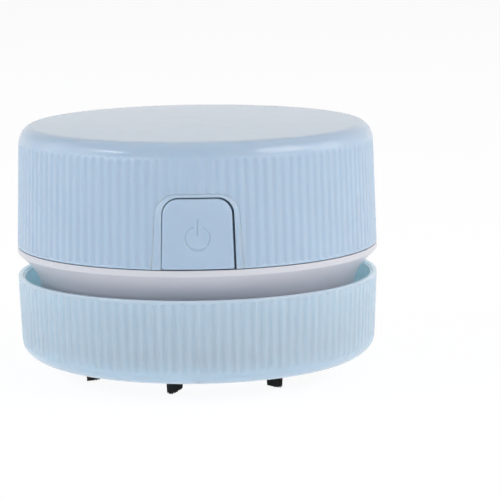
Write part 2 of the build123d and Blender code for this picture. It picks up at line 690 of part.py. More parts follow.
# ---- Motor ------------------------------------------------------------------------------------------
def motor_can():
    """Steel can, closed at its lower end, where a boss holds the bearing."""
    can = can_solid(0, Z_MOTOR, Z_CAN_TOP) - can_solid(CAN_WALL, Z_MOTOR + CAN_WALL, Z_CAN_TOP)
    can += disc(BOSS_RADIUS, Z_MOTOR - BOSS_LENGTH, Z_MOTOR + CAN_WALL / 2)
    return can - disc(BUSH_RADIUS, Z_MOTOR - BOSS_LENGTH, Z_MOTOR + CAN_WALL)


def motor_bushes():
    """Bearings at both ends of the shaft."""
    bore = SHAFT_RADIUS + SHAFT_CLEARANCE
    lower = ring(bore, BUSH_RADIUS, Z_MOTOR - BOSS_LENGTH, Z_MOTOR + CAN_WALL)
    upper = ring(bore, BUSH_RADIUS, Z_MOTOR_TOP - 2 * CAN_WALL, Z_MOTOR_TOP + BOSS_LENGTH)
    return group(lower, upper)


def motor_magnets():
    """Curved magnets against the can's round sides."""
    outer = MOTOR_WIDTH / 2 - CAN_WALL
    half_arc = math.degrees(math.asin((MOTOR_DEPTH / 2 - CAN_WALL) / outer))
    sweep_arc = min(MAGNET_ARC, 2 * half_arc)
    low = Z_CORE + CORE_LENGTH / 2 - MAGNET_LENGTH / 2
    magnet = sector(outer - MAGNET_THICKNESS, outer, low, low + MAGNET_LENGTH, -sweep_arc / 2, sweep_arc)
    return group(*around(magnet & can_solid(CAN_WALL, low, low + MAGNET_LENGTH), 2))


def motor_end_cap():
    """Plastic cap that closes the can and holds the upper bearing and the terminals."""
    cap = can_solid(0, Z_CAN_TOP, Z_MOTOR_TOP)
    cap += can_solid(CAN_WALL + SCREW_CLEARANCE, Z_CAN_TOP - CAP_SPIGOT, Z_CAN_TOP)
    cap += disc(BOSS_RADIUS, Z_MOTOR_TOP, Z_MOTOR_TOP + BOSS_LENGTH)
    cap -= disc(COMMUTATOR_RADIUS + RIB, Z_CAN_TOP - CAP_SPIGOT, Z_MOTOR_TOP - 2 * CAN_WALL)
    cap -= disc(BUSH_RADIUS, Z_MOTOR_TOP - 2 * CAN_WALL, Z_MOTOR_TOP + BOSS_LENGTH)
    slot_x = (TERMINAL_X - SCREW_CLEARANCE, TERMINAL_X + TERMINAL_THICKNESS + SCREW_CLEARANCE)
    slot_y = (-TERMINAL_WIDTH / 2 - SCREW_CLEARANCE, TERMINAL_WIDTH / 2 + SCREW_CLEARANCE)
    return cap - around(block(slot_x, slot_y, (Z_CAN_TOP - CAP_SPIGOT, Z_MOTOR_TOP)), 2)


def motor_terminals():
    """Brass terminals, each with a brush that reaches the commutator."""
    low = Z_COMMUTATOR + COMMUTATOR_LENGTH / 2 - BRUSH_BLOCK
    tab_x = (TERMINAL_X, TERMINAL_X + TERMINAL_THICKNESS)
    tab_y = (-TERMINAL_WIDTH / 2, TERMINAL_WIDTH / 2)
    terminal = block(tab_x, tab_y, (low, Z_MOTOR_TOP + TERMINAL_REACH))
    brush_x = (COMMUTATOR_RADIUS + SHAFT_CLEARANCE, TERMINAL_X)
    terminal += block(brush_x, (-BRUSH_BLOCK / 2, BRUSH_BLOCK / 2), (low, low + BRUSH_BLOCK))
    return group(*around(terminal, 2))


def motor_shaft():
    """Steel shaft from the impeller's hub to the upper bearing."""
    return disc(SHAFT_RADIUS, Z_BLADES, Z_MOTOR_TOP + BOSS_LENGTH - SLIDE_CLEARANCE)


def motor_core():
    """Laminated rotor core with three poles."""
    face = Circle(CORE_HUB)
    stem = Pos(ROTOR_RADIUS / 2, 0) * Rectangle(ROTOR_RADIUS - CORE_SHOE, CORE_STEM)
    shoe = sector(ROTOR_RADIUS - CORE_SHOE, ROTOR_RADIUS, Z_CORE, Z_CORE + CORE_LENGTH, -48, 96)
    core = extrude(Pos(0, 0, Z_CORE) * (face + around(stem, POLES)), CORE_LENGTH)
    core += around(shoe, POLES)
    return core - disc(SHAFT_RADIUS, Z_CORE, Z_CORE + CORE_LENGTH)


def motor_windings():
    """Copper coils round the stems of the core."""
    outer_x = math.sqrt((ROTOR_RADIUS - CORE_SHOE) ** 2 - (WINDING_WIDTH / 2) ** 2) - SEAT_CLEARANCE
    coil_x = (CORE_HUB + SEAT_CLEARANCE + CORE_SHOE / 2, outer_x)
    coil_y = (-WINDING_WIDTH / 2, WINDING_WIDTH / 2)
    coil = block(coil_x, coil_y, (Z_CORE - WINDING_OVERHANG, Z_CORE + CORE_LENGTH + WINDING_OVERHANG))
    stem_y = (-CORE_STEM / 2 - SCREW_CLEARANCE, CORE_STEM / 2 + SCREW_CLEARANCE)
    stem_z = (Z_CORE - SCREW_CLEARANCE, Z_CORE + CORE_LENGTH + SCREW_CLEARANCE)
    return group(*around(coil - block((0, ROTOR_RADIUS), stem_y, stem_z), POLES))


def motor_commutator():
    """Ring on the shaft that the brushes touch."""
    commutator = ring(SHAFT_RADIUS, COMMUTATOR_RADIUS, Z_COMMUTATOR, Z_COMMUTATOR + COMMUTATOR_LENGTH)
    groove_y = (-SEAT_CLEARANCE, SEAT_CLEARANCE)
    groove_z = (Z_COMMUTATOR, Z_COMMUTATOR + COMMUTATOR_LENGTH)
    groove = block((COMMUTATOR_RADIUS - CAN_WALL, COMMUTATOR_RADIUS + CAN_WALL), groove_y, groove_z)
    return commutator - around(groove, POLES, 60)


def motor_clamp():
    """Bridge over the motor's top, screwed to the posts."""
    reach = POST_Y + POST_WIDTH / 2
    high = Z_MOTOR_TOP + CLAMP_THICKNESS
    clamp = block((-CLAMP_WIDTH / 2, CLAMP_WIDTH / 2), (-reach, reach), (Z_MOTOR_TOP, high))
    clamp = fillet(clamp.edges().filter_by(Axis.Z), 2 * EDGE_ROUND)
    clamp -= disc(BOSS_RADIUS + SEAT_CLEARANCE, Z_MOTOR_TOP, high)
    for y in (-POST_Y, POST_Y):
        clamp -= Pos(0, y, 0) * disc(SCREW_RADIUS + SEAT_CLEARANCE, Z_MOTOR_TOP, high)
    return clamp


# ---- Wires ------------------------------------------------------------------------------------------
def wire(name, *points):
    """Round wire from face to face, straight but for an arc at each turn, as large as its runs allow."""
    radii = []
    for before, corner, after in zip(points, points[1:], points[2:]):
        run_in, run_out = Vector(*corner) - Vector(*before), Vector(*after) - Vector(*corner)
        half_turn = math.radians(run_in.get_angle(run_out) / 2)
        radii.append(0.45 * min(run_in.length, run_out.length) / math.tan(half_turn))
    route = FilletPolyline(*points, radius=radii)
    print(name, "bends with radii", [round(radius, 2) for radius in radii], "length", round(route.length, 1))
    return sweep(Plane(route @ 0, z_dir=route % 0) * Circle(WIRE_RADIUS), path=route)


def tail_end(side):
    """Where a wire leaves a contact's solder tail, on its outer face."""
    return side * CELL_X, -BAY_END, Z_CELL + CONTACT_SIZE / 2 + TERMINAL_REACH / 2


def switch_tab(side):
    """Where a wire stands on a tab of the switch."""
    rear = switch_front() + SWITCH_LENGTH
    return side * SWITCH_SIZE / 4, rear + 0.65 * TERMINAL_REACH, Z_SWITCH + TERMINAL_THICKNESS


def motor_end(side):
    """Where a wire meets a terminal of the motor, on its outer face."""
    return side * (TERMINAL_X + TERMINAL_THICKNESS), 0, Z_MOTOR_TOP + 0.55 * TERMINAL_REACH


def beside_motor(side):
    """Last bends of a wire that runs back beside the clamp and turns in to a terminal."""
    end = motor_end(side)
    high = Z_SWITCH + WIRE_RISE
    out = end[0] + side * 3.1
    return (out - side * 0.5, -6.2, high + 0.4), (out, 0, end[2]), end


def wires():
    """Wires from the right cell to the motor, from the left cell to the switch, and on to the motor."""
    right, left = tail_end(1), tail_end(-1)
    high = Z_SWITCH + WIRE_RISE
    to_motor = wire(
        "cell to motor", right, (right[0], right[1] - 3.5, right[2]), (13.6, right[1] - 4.7, high - 3.5),
        (9.0, right[1] + 0.9, high - 2.2), (7.8, -17.5, high - 1.0), *beside_motor(1),
    )
    tab = switch_tab(1)
    to_switch = wire(
        "cell to switch", left, (left[0], left[1] - 3.7, left[2]), (-13.0, left[1] - 5.7, high - 3.6),
        (-5.0, left[1] - 2.6, high - 3.0), (tab[0] - 1.0, tab[1] - 3.7, high - 2.8),
        (tab[0], tab[1], tab[2] + 5.7), tab,
    )
    tab = switch_tab(-1)
    from_switch = wire(
        "switch to motor", tab, (tab[0], tab[1], tab[2] + 4.3), (tab[0] - 2.6, tab[1] + 2.7, high - 3.4),
        (tab[0] - 5.4, tab[1] + 8.8, high - 0.4), *beside_motor(-1),
    )
    return group(to_motor, to_switch, from_switch)


# ---- Screws -----------------------------------------------------------------------------------------
def clamp_screws():
    """Screws of the motor clamp."""
    one = screw(SCREW_BITE)
    return group(*[Pos(0, y, Z_MOTOR_TOP + CLAMP_THICKNESS) * one for y in (-POST_Y, POST_Y)])


def tray_screws():
    """Screws of the tray."""
    one = screw(SCREW_BITE)
    return group(*[Pos(x, y, Z_SEAM) * one for x, y in tray_screw_places()])


def fan_screws():
    """Screws of the fan plate, driven from below."""
    one = Pos(FAN_SCREW_CIRCLE, 0, Z_PLATE) * Rot(180, 0, 0) * screw(SCREW_BITE)
    return group(*around(one, FAN_SCREWS, 90))


# ---- Fan --------------------------------------------------------------------------------------------
def fan_plate():
    """Plate under the impeller with the round eye that the air goes in by."""
    plate = ring(EYE_RADIUS, PLATE_RADIUS, Z_PLATE, Z_PLATE_TOP)
    plate = fillet(plate.edges().filter_by(GeomType.CIRCLE).sort_by(SortBy.RADIUS)[:2], EDGE_ROUND)
    hole = Pos(FAN_SCREW_CIRCLE, 0, 0) * disc(SCREW_RADIUS + SEAT_CLEARANCE, Z_PLATE, Z_PLATE_TOP)
    return plate - around(hole, FAN_SCREWS, 90)


def impeller():
    """Hub, disc and backward-curved blades."""
    start = Vector(FAN_RADIUS * 0.34, 0)
    end = Vector(FAN_RADIUS - BLADE_THICKNESS, 0).rotate(Axis.Z, -42)
    bulge = Vector(FAN_RADIUS * 0.70, 0).rotate(Axis.Z, -12)
    blade_face = trace(ThreePointArc(start, bulge, end), line_width=BLADE_THICKNESS)
    blade = extrude(Pos(0, 0, Z_BLADES) * blade_face, BLADE_HEIGHT)
    fan = disc(FAN_RADIUS, Z_FAN_DISC, Z_FAN_TOP) + disc(HUB_RADIUS, Z_BLADES, Z_FAN_TOP)
    fan += around(blade, BLADES)
    return fan - disc(SHAFT_RADIUS, Z_BLADES, Z_FAN_TOP)


# ---- Filter -----------------------------------------------------------------------------------------
def holder_radius():
    """Radius of the holder's rim, a seal's lip inside the bin's wall."""
    return bin_radius(Z_HOLDER) - BIN_WALL - SEAL_GAP - SEAL_GROOVE


def filter_holder():
    """Spoked plate with bayonet lugs on its collar and a groove for the seal."""
    rim = holder_radius()
    plate = ring(FILTER_OPENING, rim, Z_HOLDER, Z_SKIRT)
    middle = (Z_HOLDER + Z_SKIRT) / 2
    plate -= ring(rim - SEAL_GROOVE, rim + RIB, middle - SEAL_HEIGHT / 2, middle + SEAL_HEIGHT / 2)
    plate += disc(FILTER_HUB, Z_HOLDER, Z_SKIRT)
    spoke = block((0, FILTER_OPENING + RIB), (-SPOKE_WIDTH / 2, SPOKE_WIDTH / 2), (Z_HOLDER, Z_SKIRT))
    plate += around(spoke, SPOKES)
    plate += ring(COLLAR_RADIUS - COLLAR_WALL, COLLAR_RADIUS, Z_SKIRT - HOLDER_THICKNESS / 2, Z_COLLAR)
    lug_inner = COLLAR_RADIUS - COLLAR_WALL / 2
    lug = sector(lug_inner, COLLAR_RADIUS + LUG_REACH, Z_LUG, Z_COLLAR, -LUG_ARC / 2, LUG_ARC)
    plate += around(lug, LUGS)
    for side in (-1, 1):
        tooth_y = sorted((side * (RIB / 2 + SLIDE_CLEARANCE), side * (RIB * 1.5 + SLIDE_CLEARANCE)))
        tooth_z = (Z_HOLDER - TOOTH_LENGTH, middle - SEAL_HEIGHT / 2)
        tooth = block((rim - BIN_RIB_WIDTH, rim), tooth_y, tooth_z)
        plate += around(tooth, LUGS, BIN_RIB_START)
    return plate


def filter_mesh():
    """Fine mesh disc on the holder's spokes."""
    return disc(COLLAR_RADIUS - COLLAR_WALL - SEAT_CLEARANCE, Z_SKIRT, Z_SKIRT + MESH_THICKNESS)


def seal_ring():
    """Rubber ring in the holder's groove, just inside the bin's wall."""
    middle = (Z_HOLDER + Z_SKIRT) / 2
    inner = holder_radius() - SEAL_GROOVE
    return ring(inner, inner + 2 * SEAL_GROOVE, middle - SEAL_HEIGHT / 2, middle + SEAL_HEIGHT / 2)


# ---- Bin --------------------------------------------------------------------------------------------
def bin_radius(z):
    """Outer radius of the bin's leaning wall at a height."""
    return BODY_RADIUS - BIN_DRAFT * (Z_RIM - z) / (BIN_HEIGHT - BIN_ROUND_HEIGHT)


def bin_form(inset):
    """The bin's outer form as a solid, drawn in by an inset."""
    corner = (BIN_FOOT_RADIUS - BIN_ROUND_WIDTH, Z_BIN + BIN_ROUND_HEIGHT)
    width = BIN_ROUND_WIDTH - inset
    rounding = EllipticalCenterArc(corner, width, BIN_ROUND_HEIGHT - inset, 270, arc_size=90)
    floor = Line((0, Z_BIN + inset), (corner[0], Z_BIN + inset))
    rim = (BODY_RADIUS - inset, Z_RIM)
    wall = Polyline((BIN_FOOT_RADIUS - inset, corner[1]), rim, (0, Z_RIM), (0, Z_BIN + inset))
    return turned(floor, rounding, wall)


def dust_bin():
    """Ribbed cup with a raised inlet, a channel for the brush ring and ledges for the filter."""
    head = Z_RIM - BIN_BAND
    cutters = flute_cutters((bin_radius(Z_BIN), Z_BIN), (bin_radius(head), head), FRONT + 180 / FLUTES)
    cup = bin_form(0)
    cup = fillet(cup.edges().group_by(Axis.Z)[-1], EDGE_ROUND)
    cup = cup - cutters - bin_form(BIN_WALL)
    cup -= disc(BODY_RADIUS - BIN_RIM_WALL, Z_RIM - BIN_RIM_STEP, Z_RIM)
    inner = bin_radius(Z_HOLDER) - BIN_WALL - BIN_RIB_WIDTH
    ledge = block((inner, BODY_RADIUS), (-RIB / 2, RIB / 2), (Z_FLOOR - BIN_WALL / 2, Z_HOLDER))
    cup += [rib & bin_form(BIN_WALL / 2) for rib in around(ledge, BIN_RIBS, BIN_RIB_START)]
    channel_top = Z_BIN + BRUSH_RING_THICKNESS
    cup += ring(BRUSH_INNER - RIB, BRUSH_OUTER + RIB, channel_top, channel_top + BRUSH_RING_THICKNESS)
    cup -= ring(BRUSH_INNER, BRUSH_OUTER, Z_BIN, channel_top)
    cup += disc(CHIMNEY_RADIUS, Z_BIN + BIN_WALL / 2, Z_FLOOR + CHIMNEY_HEIGHT)
    return cup - disc(INLET_RADIUS, Z_BIN, Z_FLOOR + CHIMNEY_HEIGHT)


def brush_ring():
    """Ring in the bin's underside that holds the tufts."""
    low = Z_BIN
    high = Z_BIN + BRUSH_RING_THICKNESS
    plate = ring(BRUSH_INNER + SEAT_CLEARANCE, BRUSH_OUTER - SEAT_CLEARANCE, low, high)
    hole = Pos(BRUSH_CIRCLE, 0, 0) * disc(TUFT_RADIUS + SCREW_CLEARANCE, low, high)
    return plate - around(hole, TUFTS, FRONT + TUFT_TURN)


def brush_tufts():
    """Bristle tufts that stand in the ring and touch the desk."""
    high = Z_BIN + BRUSH_RING_THICKNESS
    tuft = disc(TUFT_RADIUS, Z_BIN, high)
    tuft += Pos(0, 0, Z_BIN / 2) * Cone(TUFT_RADIUS + TUFT_FLARE, TUFT_RADIUS, Z_BIN)
    return group(*around(Pos(BRUSH_CIRCLE, 0, 0) * tuft, TUFTS, FRONT + TUFT_TURN))


NODES = [
    top_housing, power_button, switch_plunger, switch_spring, switch_body, neck_frame, battery_tray,
    battery_left, battery_right, battery_springs, contact_bridge, contact_tabs, motor_can, motor_bushes,
    motor_magnets, motor_end_cap, motor_terminals, motor_shaft, motor_core, motor_windings,
    motor_commutator, motor_clamp, wires, clamp_screws, tray_screws, fan_screws, fan_plate, impeller,
    filter_holder, filter_mesh, seal_ring, dust_bin, brush_ring, brush_tufts,
]

os.makedirs("parts", exist_ok=True)
for node in NODES:
    export_step(node(), f"parts/{node.__name__}.step")
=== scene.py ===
# %% [markdown]
# # A desktop mini vacuum cleaner
# A round cleaner sits on seven bristle tufts. A fluted top covers the motor and two cells, a white
# neck holds the fan, and a fluted cup below it catches the crumbs. The CAD model is loaded first,
# because every piece that is made here has to sit on it, in metres, with +Z up.

# %% Load the CAD model
import math
import random

import bmesh
import bpy
from mathutils import Matrix, Quaternion, Vector


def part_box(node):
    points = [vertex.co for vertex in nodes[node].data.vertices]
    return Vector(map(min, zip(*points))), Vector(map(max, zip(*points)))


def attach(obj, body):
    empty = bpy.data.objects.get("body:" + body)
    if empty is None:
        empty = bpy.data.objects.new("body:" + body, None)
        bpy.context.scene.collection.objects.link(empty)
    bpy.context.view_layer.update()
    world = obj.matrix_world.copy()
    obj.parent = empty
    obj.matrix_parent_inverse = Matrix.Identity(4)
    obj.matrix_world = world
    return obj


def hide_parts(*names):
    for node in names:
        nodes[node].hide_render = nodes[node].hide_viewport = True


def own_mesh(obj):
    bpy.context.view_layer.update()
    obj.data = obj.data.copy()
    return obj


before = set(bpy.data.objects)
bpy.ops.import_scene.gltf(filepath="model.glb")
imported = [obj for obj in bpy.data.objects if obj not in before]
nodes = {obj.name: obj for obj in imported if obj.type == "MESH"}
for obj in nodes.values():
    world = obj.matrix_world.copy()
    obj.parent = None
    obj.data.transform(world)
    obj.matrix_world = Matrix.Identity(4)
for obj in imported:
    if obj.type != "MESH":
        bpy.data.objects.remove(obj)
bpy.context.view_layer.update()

# %% [markdown]
# ## The camera
# The cleaner is seen almost level, nine degrees from above, through a long lens, so that its rims
# stay shallow ovals. The camera aims a little to the right of the cleaner, which leaves it left of
# the middle, and it leans less than a degree, as a camera held by hand does.

# %% Place the camera
MM = 0.001
EYE, AIM_POINT = (0, -0.6584, 0.1352), (0.0126, -0.0002, 0.0292)
FOCAL_LENGTH, LEAN = 199.9, -0.69  # millimetres, degrees
camera_data = bpy.data.cameras.new("camera")
camera_data.sensor_width = 36
camera_data.lens = FOCAL_LENGTH
camera = bpy.data.objects.new("camera", camera_data)
bpy.context.collection.objects.link(camera)
camera.location = EYE
aim = Vector(AIM_POINT) - camera.location
camera.rotation_mode = "QUATERNION"
camera.rotation_quaternion = aim.to_track_quat("-Z", "Y") @ Quaternion((0, 0, 1), math.radians(LEAN))
bpy.context.scene.camera = camera
print("camera is", round(aim.length, 3), "m from the middle of the cleaner")

# %% [markdown]
# ## Floor and light
# A studio table is one pale sheet. Its colour goes to pure white where the camera sees it, and a
# shadow still darkens it. It also glows weakly, as a white table does that throws light back up
# under what stands on it. The table goes down with the dust bin, so that the bin still stands on it
# once it has been pulled off. Eight soft lamps light the cleaner: two high in front give the small
# glints on its shoulder, two stand at its sides, three lie low in front and reach into the flutes,
# and one wide lamp hangs overhead.

# %% Build the floor
def link(obj):
    """Put a new object in the scene and hand it back."""
    bpy.context.collection.objects.link(obj)
    return obj


def mesh_object(name, shape):
    """Turn a finished bmesh into an object at the origin."""
    mesh = bpy.data.meshes.new(name)
    shape.to_mesh(mesh)
    shape.free()
    return link(bpy.data.objects.new(name, mesh))


floor_shape = bmesh.new()
bmesh.ops.create_grid(floor_shape, x_segments=1, y_segments=1, size=2.0)
floor = mesh_object("floor", floor_shape)
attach(floor, "cup")

SEEN_WHITE, TABLE_GLOW = 0.9, 0.32
floor_paint = bpy.data.materials.new("floor_paint")
floor_paint.use_nodes = True
tree = floor_paint.node_tree
tree.nodes.clear()
out = tree.nodes.new("ShaderNodeOutputMaterial")
sheet = tree.nodes.new("ShaderNodeBsdfDiffuse")
sheet.inputs["Color"].default_value = (0.92, 0.92, 0.92, 1)
white = tree.nodes.new("ShaderNodeEmission")
white.inputs["Strength"].default_value = 1.0
path = tree.nodes.new("ShaderNodeLightPath")
share = tree.nodes.new("ShaderNodeMath")
share.operation = "MULTIPLY"
share.inputs[1].default_value = SEEN_WHITE
mix = tree.nodes.new("ShaderNodeMixShader")
seen = tree.nodes.new("ShaderNodeMath")
seen.operation = "MAXIMUM"
tree.links.new(path.outputs["Is Camera Ray"], seen.inputs[0])
tree.links.new(path.outputs["Is Glossy Ray"], seen.inputs[1])
tree.links.new(seen.outputs[0], share.inputs[0])
tree.links.new(share.outputs[0], mix.inputs["Fac"])
glow = tree.nodes.new("ShaderNodeEmission")
glow.inputs["Strength"].default_value = TABLE_GLOW
lit = tree.nodes.new("ShaderNodeAddShader")
tree.links.new(sheet.outputs[0], lit.inputs[0])
tree.links.new(glow.outputs[0], lit.inputs[1])
tree.links.new(lit.outputs[0], mix.inputs[1])
tree.links.new(white.outputs[0], mix.inputs[2])
tree.links.new(mix.outputs[0], out.inputs["Surface"])
floor.data.materials.append(floor_paint)
print(floor.name, "wears", floor_paint.name, "and rides on the cup")

# %% Set the world and the lamps
world = bpy.data.worlds.new("studio")
bpy.context.scene.world = world
world.use_nodes = True
tree = world.node_tree
tree.nodes.clear()
out = tree.nodes.new("ShaderNodeOutputWorld")
room = tree.nodes.new("ShaderNodeBackground")
room.inputs["Color"].default_value = (0.97, 0.98, 1.0, 1)
room.inputs["Strength"].default_value = 0.18
backdrop = tree.nodes.new("ShaderNodeBackground")
backdrop.inputs["Color"].default_value = (1, 1, 1, 1)
backdrop.inputs["Strength"].default_value = 1.0
path = tree.nodes.new("ShaderNodeLightPath")
seen = tree.nodes.new("ShaderNodeMath")
seen.operation = "MAXIMUM"
through = tree.nodes.new("ShaderNodeMath")
through.operation = "MAXIMUM"
mix = tree.nodes.new("ShaderNodeMixShader")
tree.links.new(path.outputs["Is Camera Ray"], seen.inputs[0])
tree.links.new(path.outputs["Is Glossy Ray"], seen.inputs[1])
tree.links.new(seen.outputs[0], through.inputs[0])
tree.links.new(path.outputs["Is Transmission Ray"], through.inputs[1])
tree.links.new(through.outputs[0], mix.inputs["Fac"])
tree.links.new(room.outputs[0], mix.inputs[1])
tree.links.new(backdrop.outputs[0], mix.inputs[2])
tree.links.new(mix.outputs[0], out.inputs["Surface"])


def soft_box(name, place, width, height, watts, colour=(1, 1, 1)):
    """A rectangular lamp that faces the cleaner."""
    data = bpy.data.lights.new(name, "AREA")
    data.shape = "RECTANGLE"
    data.size = width
    data.size_y = height
    data.energy = watts
    data.color = colour
    lamp = link(bpy.data.objects.new(name, data))
    lamp.location = place
    lamp.rotation_mode = "QUATERNION"
    lamp.rotation_quaternion = (Vector((0, 0, 0.03)) - Vector(place)).to_track_quat("-Z", "Y")
    return lamp


COOL, WARM = (0.90, 0.96, 1.0), (1.0, 0.93, 0.88)
soft_box("spot_left", (-0.75, -0.40, 0.63), 0.30, 0.08, 1.0)
soft_box("spot_right", (0.75, -0.40, 0.63), 0.50, 0.40, 2.9, WARM)
soft_box("side_left", (-0.9, 0.05, 0.35), 0.9, 0.7, 2.2)
soft_box("side_right", (0.9, 0.05, 0.35), 0.5, 0.5, 1.6)
soft_box("low_left", (-0.7, -0.6, 0.15), 0.9, 0.26, 2.0, COOL)
soft_box("low_right", (0.7, -0.6, 0.15), 0.9, 0.26, 1.5, COOL)
soft_box("front_low", (0, -1.0, 0.12), 1.2, 0.2, 0.6, COOL)
soft_box("overhead", (0, 0.2, 1.2), 1.4, 1.2, 3.8, COOL)
bpy.context.scene.view_settings.view_transform = "Standard"

# %% [markdown]
# ## Moulded plastic
# The shells are dyed plastic with a satin skin. Up close such a skin is never flat: the mould's
# fine texture scatters the light, and the dye varies by a percent or two. A noise drives both,
# in object coordinates, so that the pattern stays with the piece. Light also goes a little way into
# dyed plastic. The thin bin lets it through, so the bin has the deeper subsurface scattering, and
# the thick housing has hardly any. Both shells are one plastic, but the bin's colour is painted
# lighter and bluer: painted light on its shaded rounding and inner wall.

# %% Define the plastics
def moulded_plastic(
    name, colour, roughness, grain_mm=0.25, grain_depth=0.02, variation=0.02, depth_mm=0.0, milky=1.0,
):
    """Satin plastic: slightly uneven dye, a fine grain, and light that may pass through thin walls."""
    material = bpy.data.materials.new(name)
    material.use_nodes = True
    tree = material.node_tree
    skin = tree.nodes["Principled BSDF"]
    place = tree.nodes.new("ShaderNodeTexCoord")
    cloud = tree.nodes.new("ShaderNodeTexNoise")
    cloud.inputs["Scale"].default_value = 60
    cloud.inputs["Detail"].default_value = 3
    dye = tree.nodes.new("ShaderNodeMix")
    dye.data_type = "RGBA"
    dye.inputs["A"].default_value = (*[c * (1 - variation) for c in colour], 1)
    dye.inputs["B"].default_value = (*[min(1, c * (1 + variation)) for c in colour], 1)
    grain = tree.nodes.new("ShaderNodeTexNoise")
    grain.inputs["Scale"].default_value = 1 / (grain_mm * MM)
    grain.inputs["Detail"].default_value = 2
    polish = tree.nodes.new("ShaderNodeMapRange")
    polish.inputs["To Min"].default_value = roughness - 0.04
    polish.inputs["To Max"].default_value = roughness + 0.04
    bump = tree.nodes.new("ShaderNodeBump")
    bump.inputs["Strength"].default_value = grain_depth
    bump.inputs["Distance"].default_value = grain_mm * MM
    for texture in (cloud, grain):
        tree.links.new(place.outputs["Object"], texture.inputs["Vector"])
    if depth_mm:
        skin.inputs["Subsurface Weight"].default_value = milky
        skin.inputs["Subsurface Radius"].default_value = (0.7, 0.95, 1.0)
        skin.inputs["Subsurface Scale"].default_value = depth_mm * MM
    tree.links.new(cloud.outputs["Fac"], dye.inputs["Factor"])
    tree.links.new(dye.outputs["Result"], skin.inputs["Base Color"])
    tree.links.new(cloud.outputs["Fac"], polish.inputs["Value"])
    tree.links.new(polish.outputs["Result"], skin.inputs["Roughness"])
    tree.links.new(grain.outputs["Fac"], bump.inputs["Height"])
    tree.links.new(bump.outputs["Normal"], skin.inputs["Normal"])
    return material


def srgb(red, green, blue):
    """A colour given as screen values from 0 to 255, made linear for the shader."""
    values = [v / 255 for v in (red, green, blue)]
    return tuple(v / 12.92 if v <= 0.04045 else ((v + 0.055) / 1.055) ** 2.4 for v in values)


shell_blue = moulded_plastic("shell_blue", srgb(177, 197, 217), 0.20, depth_mm=0.4)
# The bin's colour is painted lighter and bluer than the housing's, though both are one plastic: painted
# light for its shaded rounding and inner wall.
bin_blue_painted_light = moulded_plastic("bin_blue_painted_light", srgb(177, 206, 238), 0.20, depth_mm=10.0, milky=0.82)
neck_white = moulded_plastic("neck_white", srgb(206, 206, 213), 0.30)
tray_grey = moulded_plastic("tray_grey", srgb(196, 202, 208), 0.45)
switch_black = moulded_plastic("switch_black", srgb(38, 38, 41), 0.4)


def dress(material, *names):
    """Give CAD nodes a finish."""
    for name in names:
        data = nodes[name].data
        data.materials.clear()
        data.materials.append(material)
        print(name, "wears", material.name)


dress(neck_white, "switch_plunger", "motor_end_cap", "filter_holder")
dress(tray_grey, "battery_tray", "motor_clamp", "fan_plate", "impeller")
dress(switch_black, "switch_body", "brush_ring")

# %% [markdown]
# ## Metal
# The inside holds drawn steel, nickel-plated springs, bronze bearings and copper wire. Drawing and
# turning leave fine scratches that all run one way, so a noise is squeezed along two axes and
# stretched along the third, and it moves the roughness.

# %% Define the metals
def drawn_metal(name, colour, roughness, stretch=(400, 400, 20)):
    """Metal with fine scratches along the axis that has the smallest stretch value."""
    material = bpy.data.materials.new(name)
    material.use_nodes = True
    tree = material.node_tree
    skin = tree.nodes["Principled BSDF"]
    skin.inputs["Metallic"].default_value = 1.0
    skin.inputs["Base Color"].default_value = (*colour, 1)
    place = tree.nodes.new("ShaderNodeTexCoord")
    squeeze = tree.nodes.new("ShaderNodeMapping")
    squeeze.inputs["Scale"].default_value = stretch
    scratches = tree.nodes.new("ShaderNodeTexNoise")
    scratches.inputs["Scale"].default_value = 10
    scratches.inputs["Detail"].default_value = 4
    polish = tree.nodes.new("ShaderNodeMapRange")
    polish.inputs["To Min"].default_value = roughness - 0.08
    polish.inputs["To Max"].default_value = roughness + 0.1
    bump = tree.nodes.new("ShaderNodeBump")
    bump.inputs["Strength"].default_value = 0.05
    bump.inputs["Distance"].default_value = 0.05 * MM
    tree.links.new(place.outputs["Object"], squeeze.inputs["Vector"])
    tree.links.new(squeeze.outputs["Vector"], scratches.inputs["Vector"])
    tree.links.new(scratches.outputs["Fac"], polish.inputs["Value"])
    tree.links.new(polish.outputs["Result"], skin.inputs["Roughness"])
    tree.links.new(scratches.outputs["Fac"], bump.inputs["Height"])
    tree.links.new(bump.outputs["Normal"], skin.inputs["Normal"])
    return material


drawn_steel = drawn_metal("drawn_steel", (0.60, 0.61, 0.63), 0.32)
nickel_plate = drawn_metal("nickel_plate", (0.72, 0.71, 0.68), 0.25)
bearing_bronze = drawn_metal("bearing_bronze", (0.72, 0.47, 0.24), 0.35)
copper_wire = drawn_metal("copper_wire", (0.78, 0.36, 0.19), 0.3, (2000, 2000, 40))
dress(drawn_steel, "motor_shaft", "motor_core", "clamp_screws", "tray_screws", "fan_screws")
dress(nickel_plate, "motor_can", "battery_springs", "contact_bridge", "contact_tabs")
dress(bearing_bronze, "motor_bushes", "motor_terminals", "motor_commutator")
dress(copper_wire, "motor_windings")

# %% [markdown]
# ## Rubber, wires, filter cloth, magnets and cells
# The seal is matt rubber, the filter is a fine woven cloth, and the magnets are pressed powder. The
# wires' sleeves are black and red. One CAD piece holds all the wires, so the side of the cleaner
# that a wire lies on chooses its colour.
# A cell is a steel tube in a printed sleeve that leaves both ends bare. One gradient along the
# cell's length switches between sleeve and metal.

# %% Define the soft and the dark finishes
def plain_finish(name, colour, roughness, grain_mm, grain_depth):
    """A non-metal with an even colour and a grain."""
    return moulded_plastic(name, colour, roughness, grain_mm, grain_depth, 0.08)


seal_rubber = plain_finish("seal_rubber", srgb(52, 52, 55), 0.8, 0.15, 0.1)
pressed_ferrite = plain_finish("pressed_ferrite", srgb(58, 57, 60), 0.75, 0.3, 0.3)
bristle_nylon = plain_finish("bristle_nylon", srgb(9, 10, 11), 0.75, 0.1, 0.02)
dress(seal_rubber, "seal_ring")
dress(pressed_ferrite, "motor_magnets")

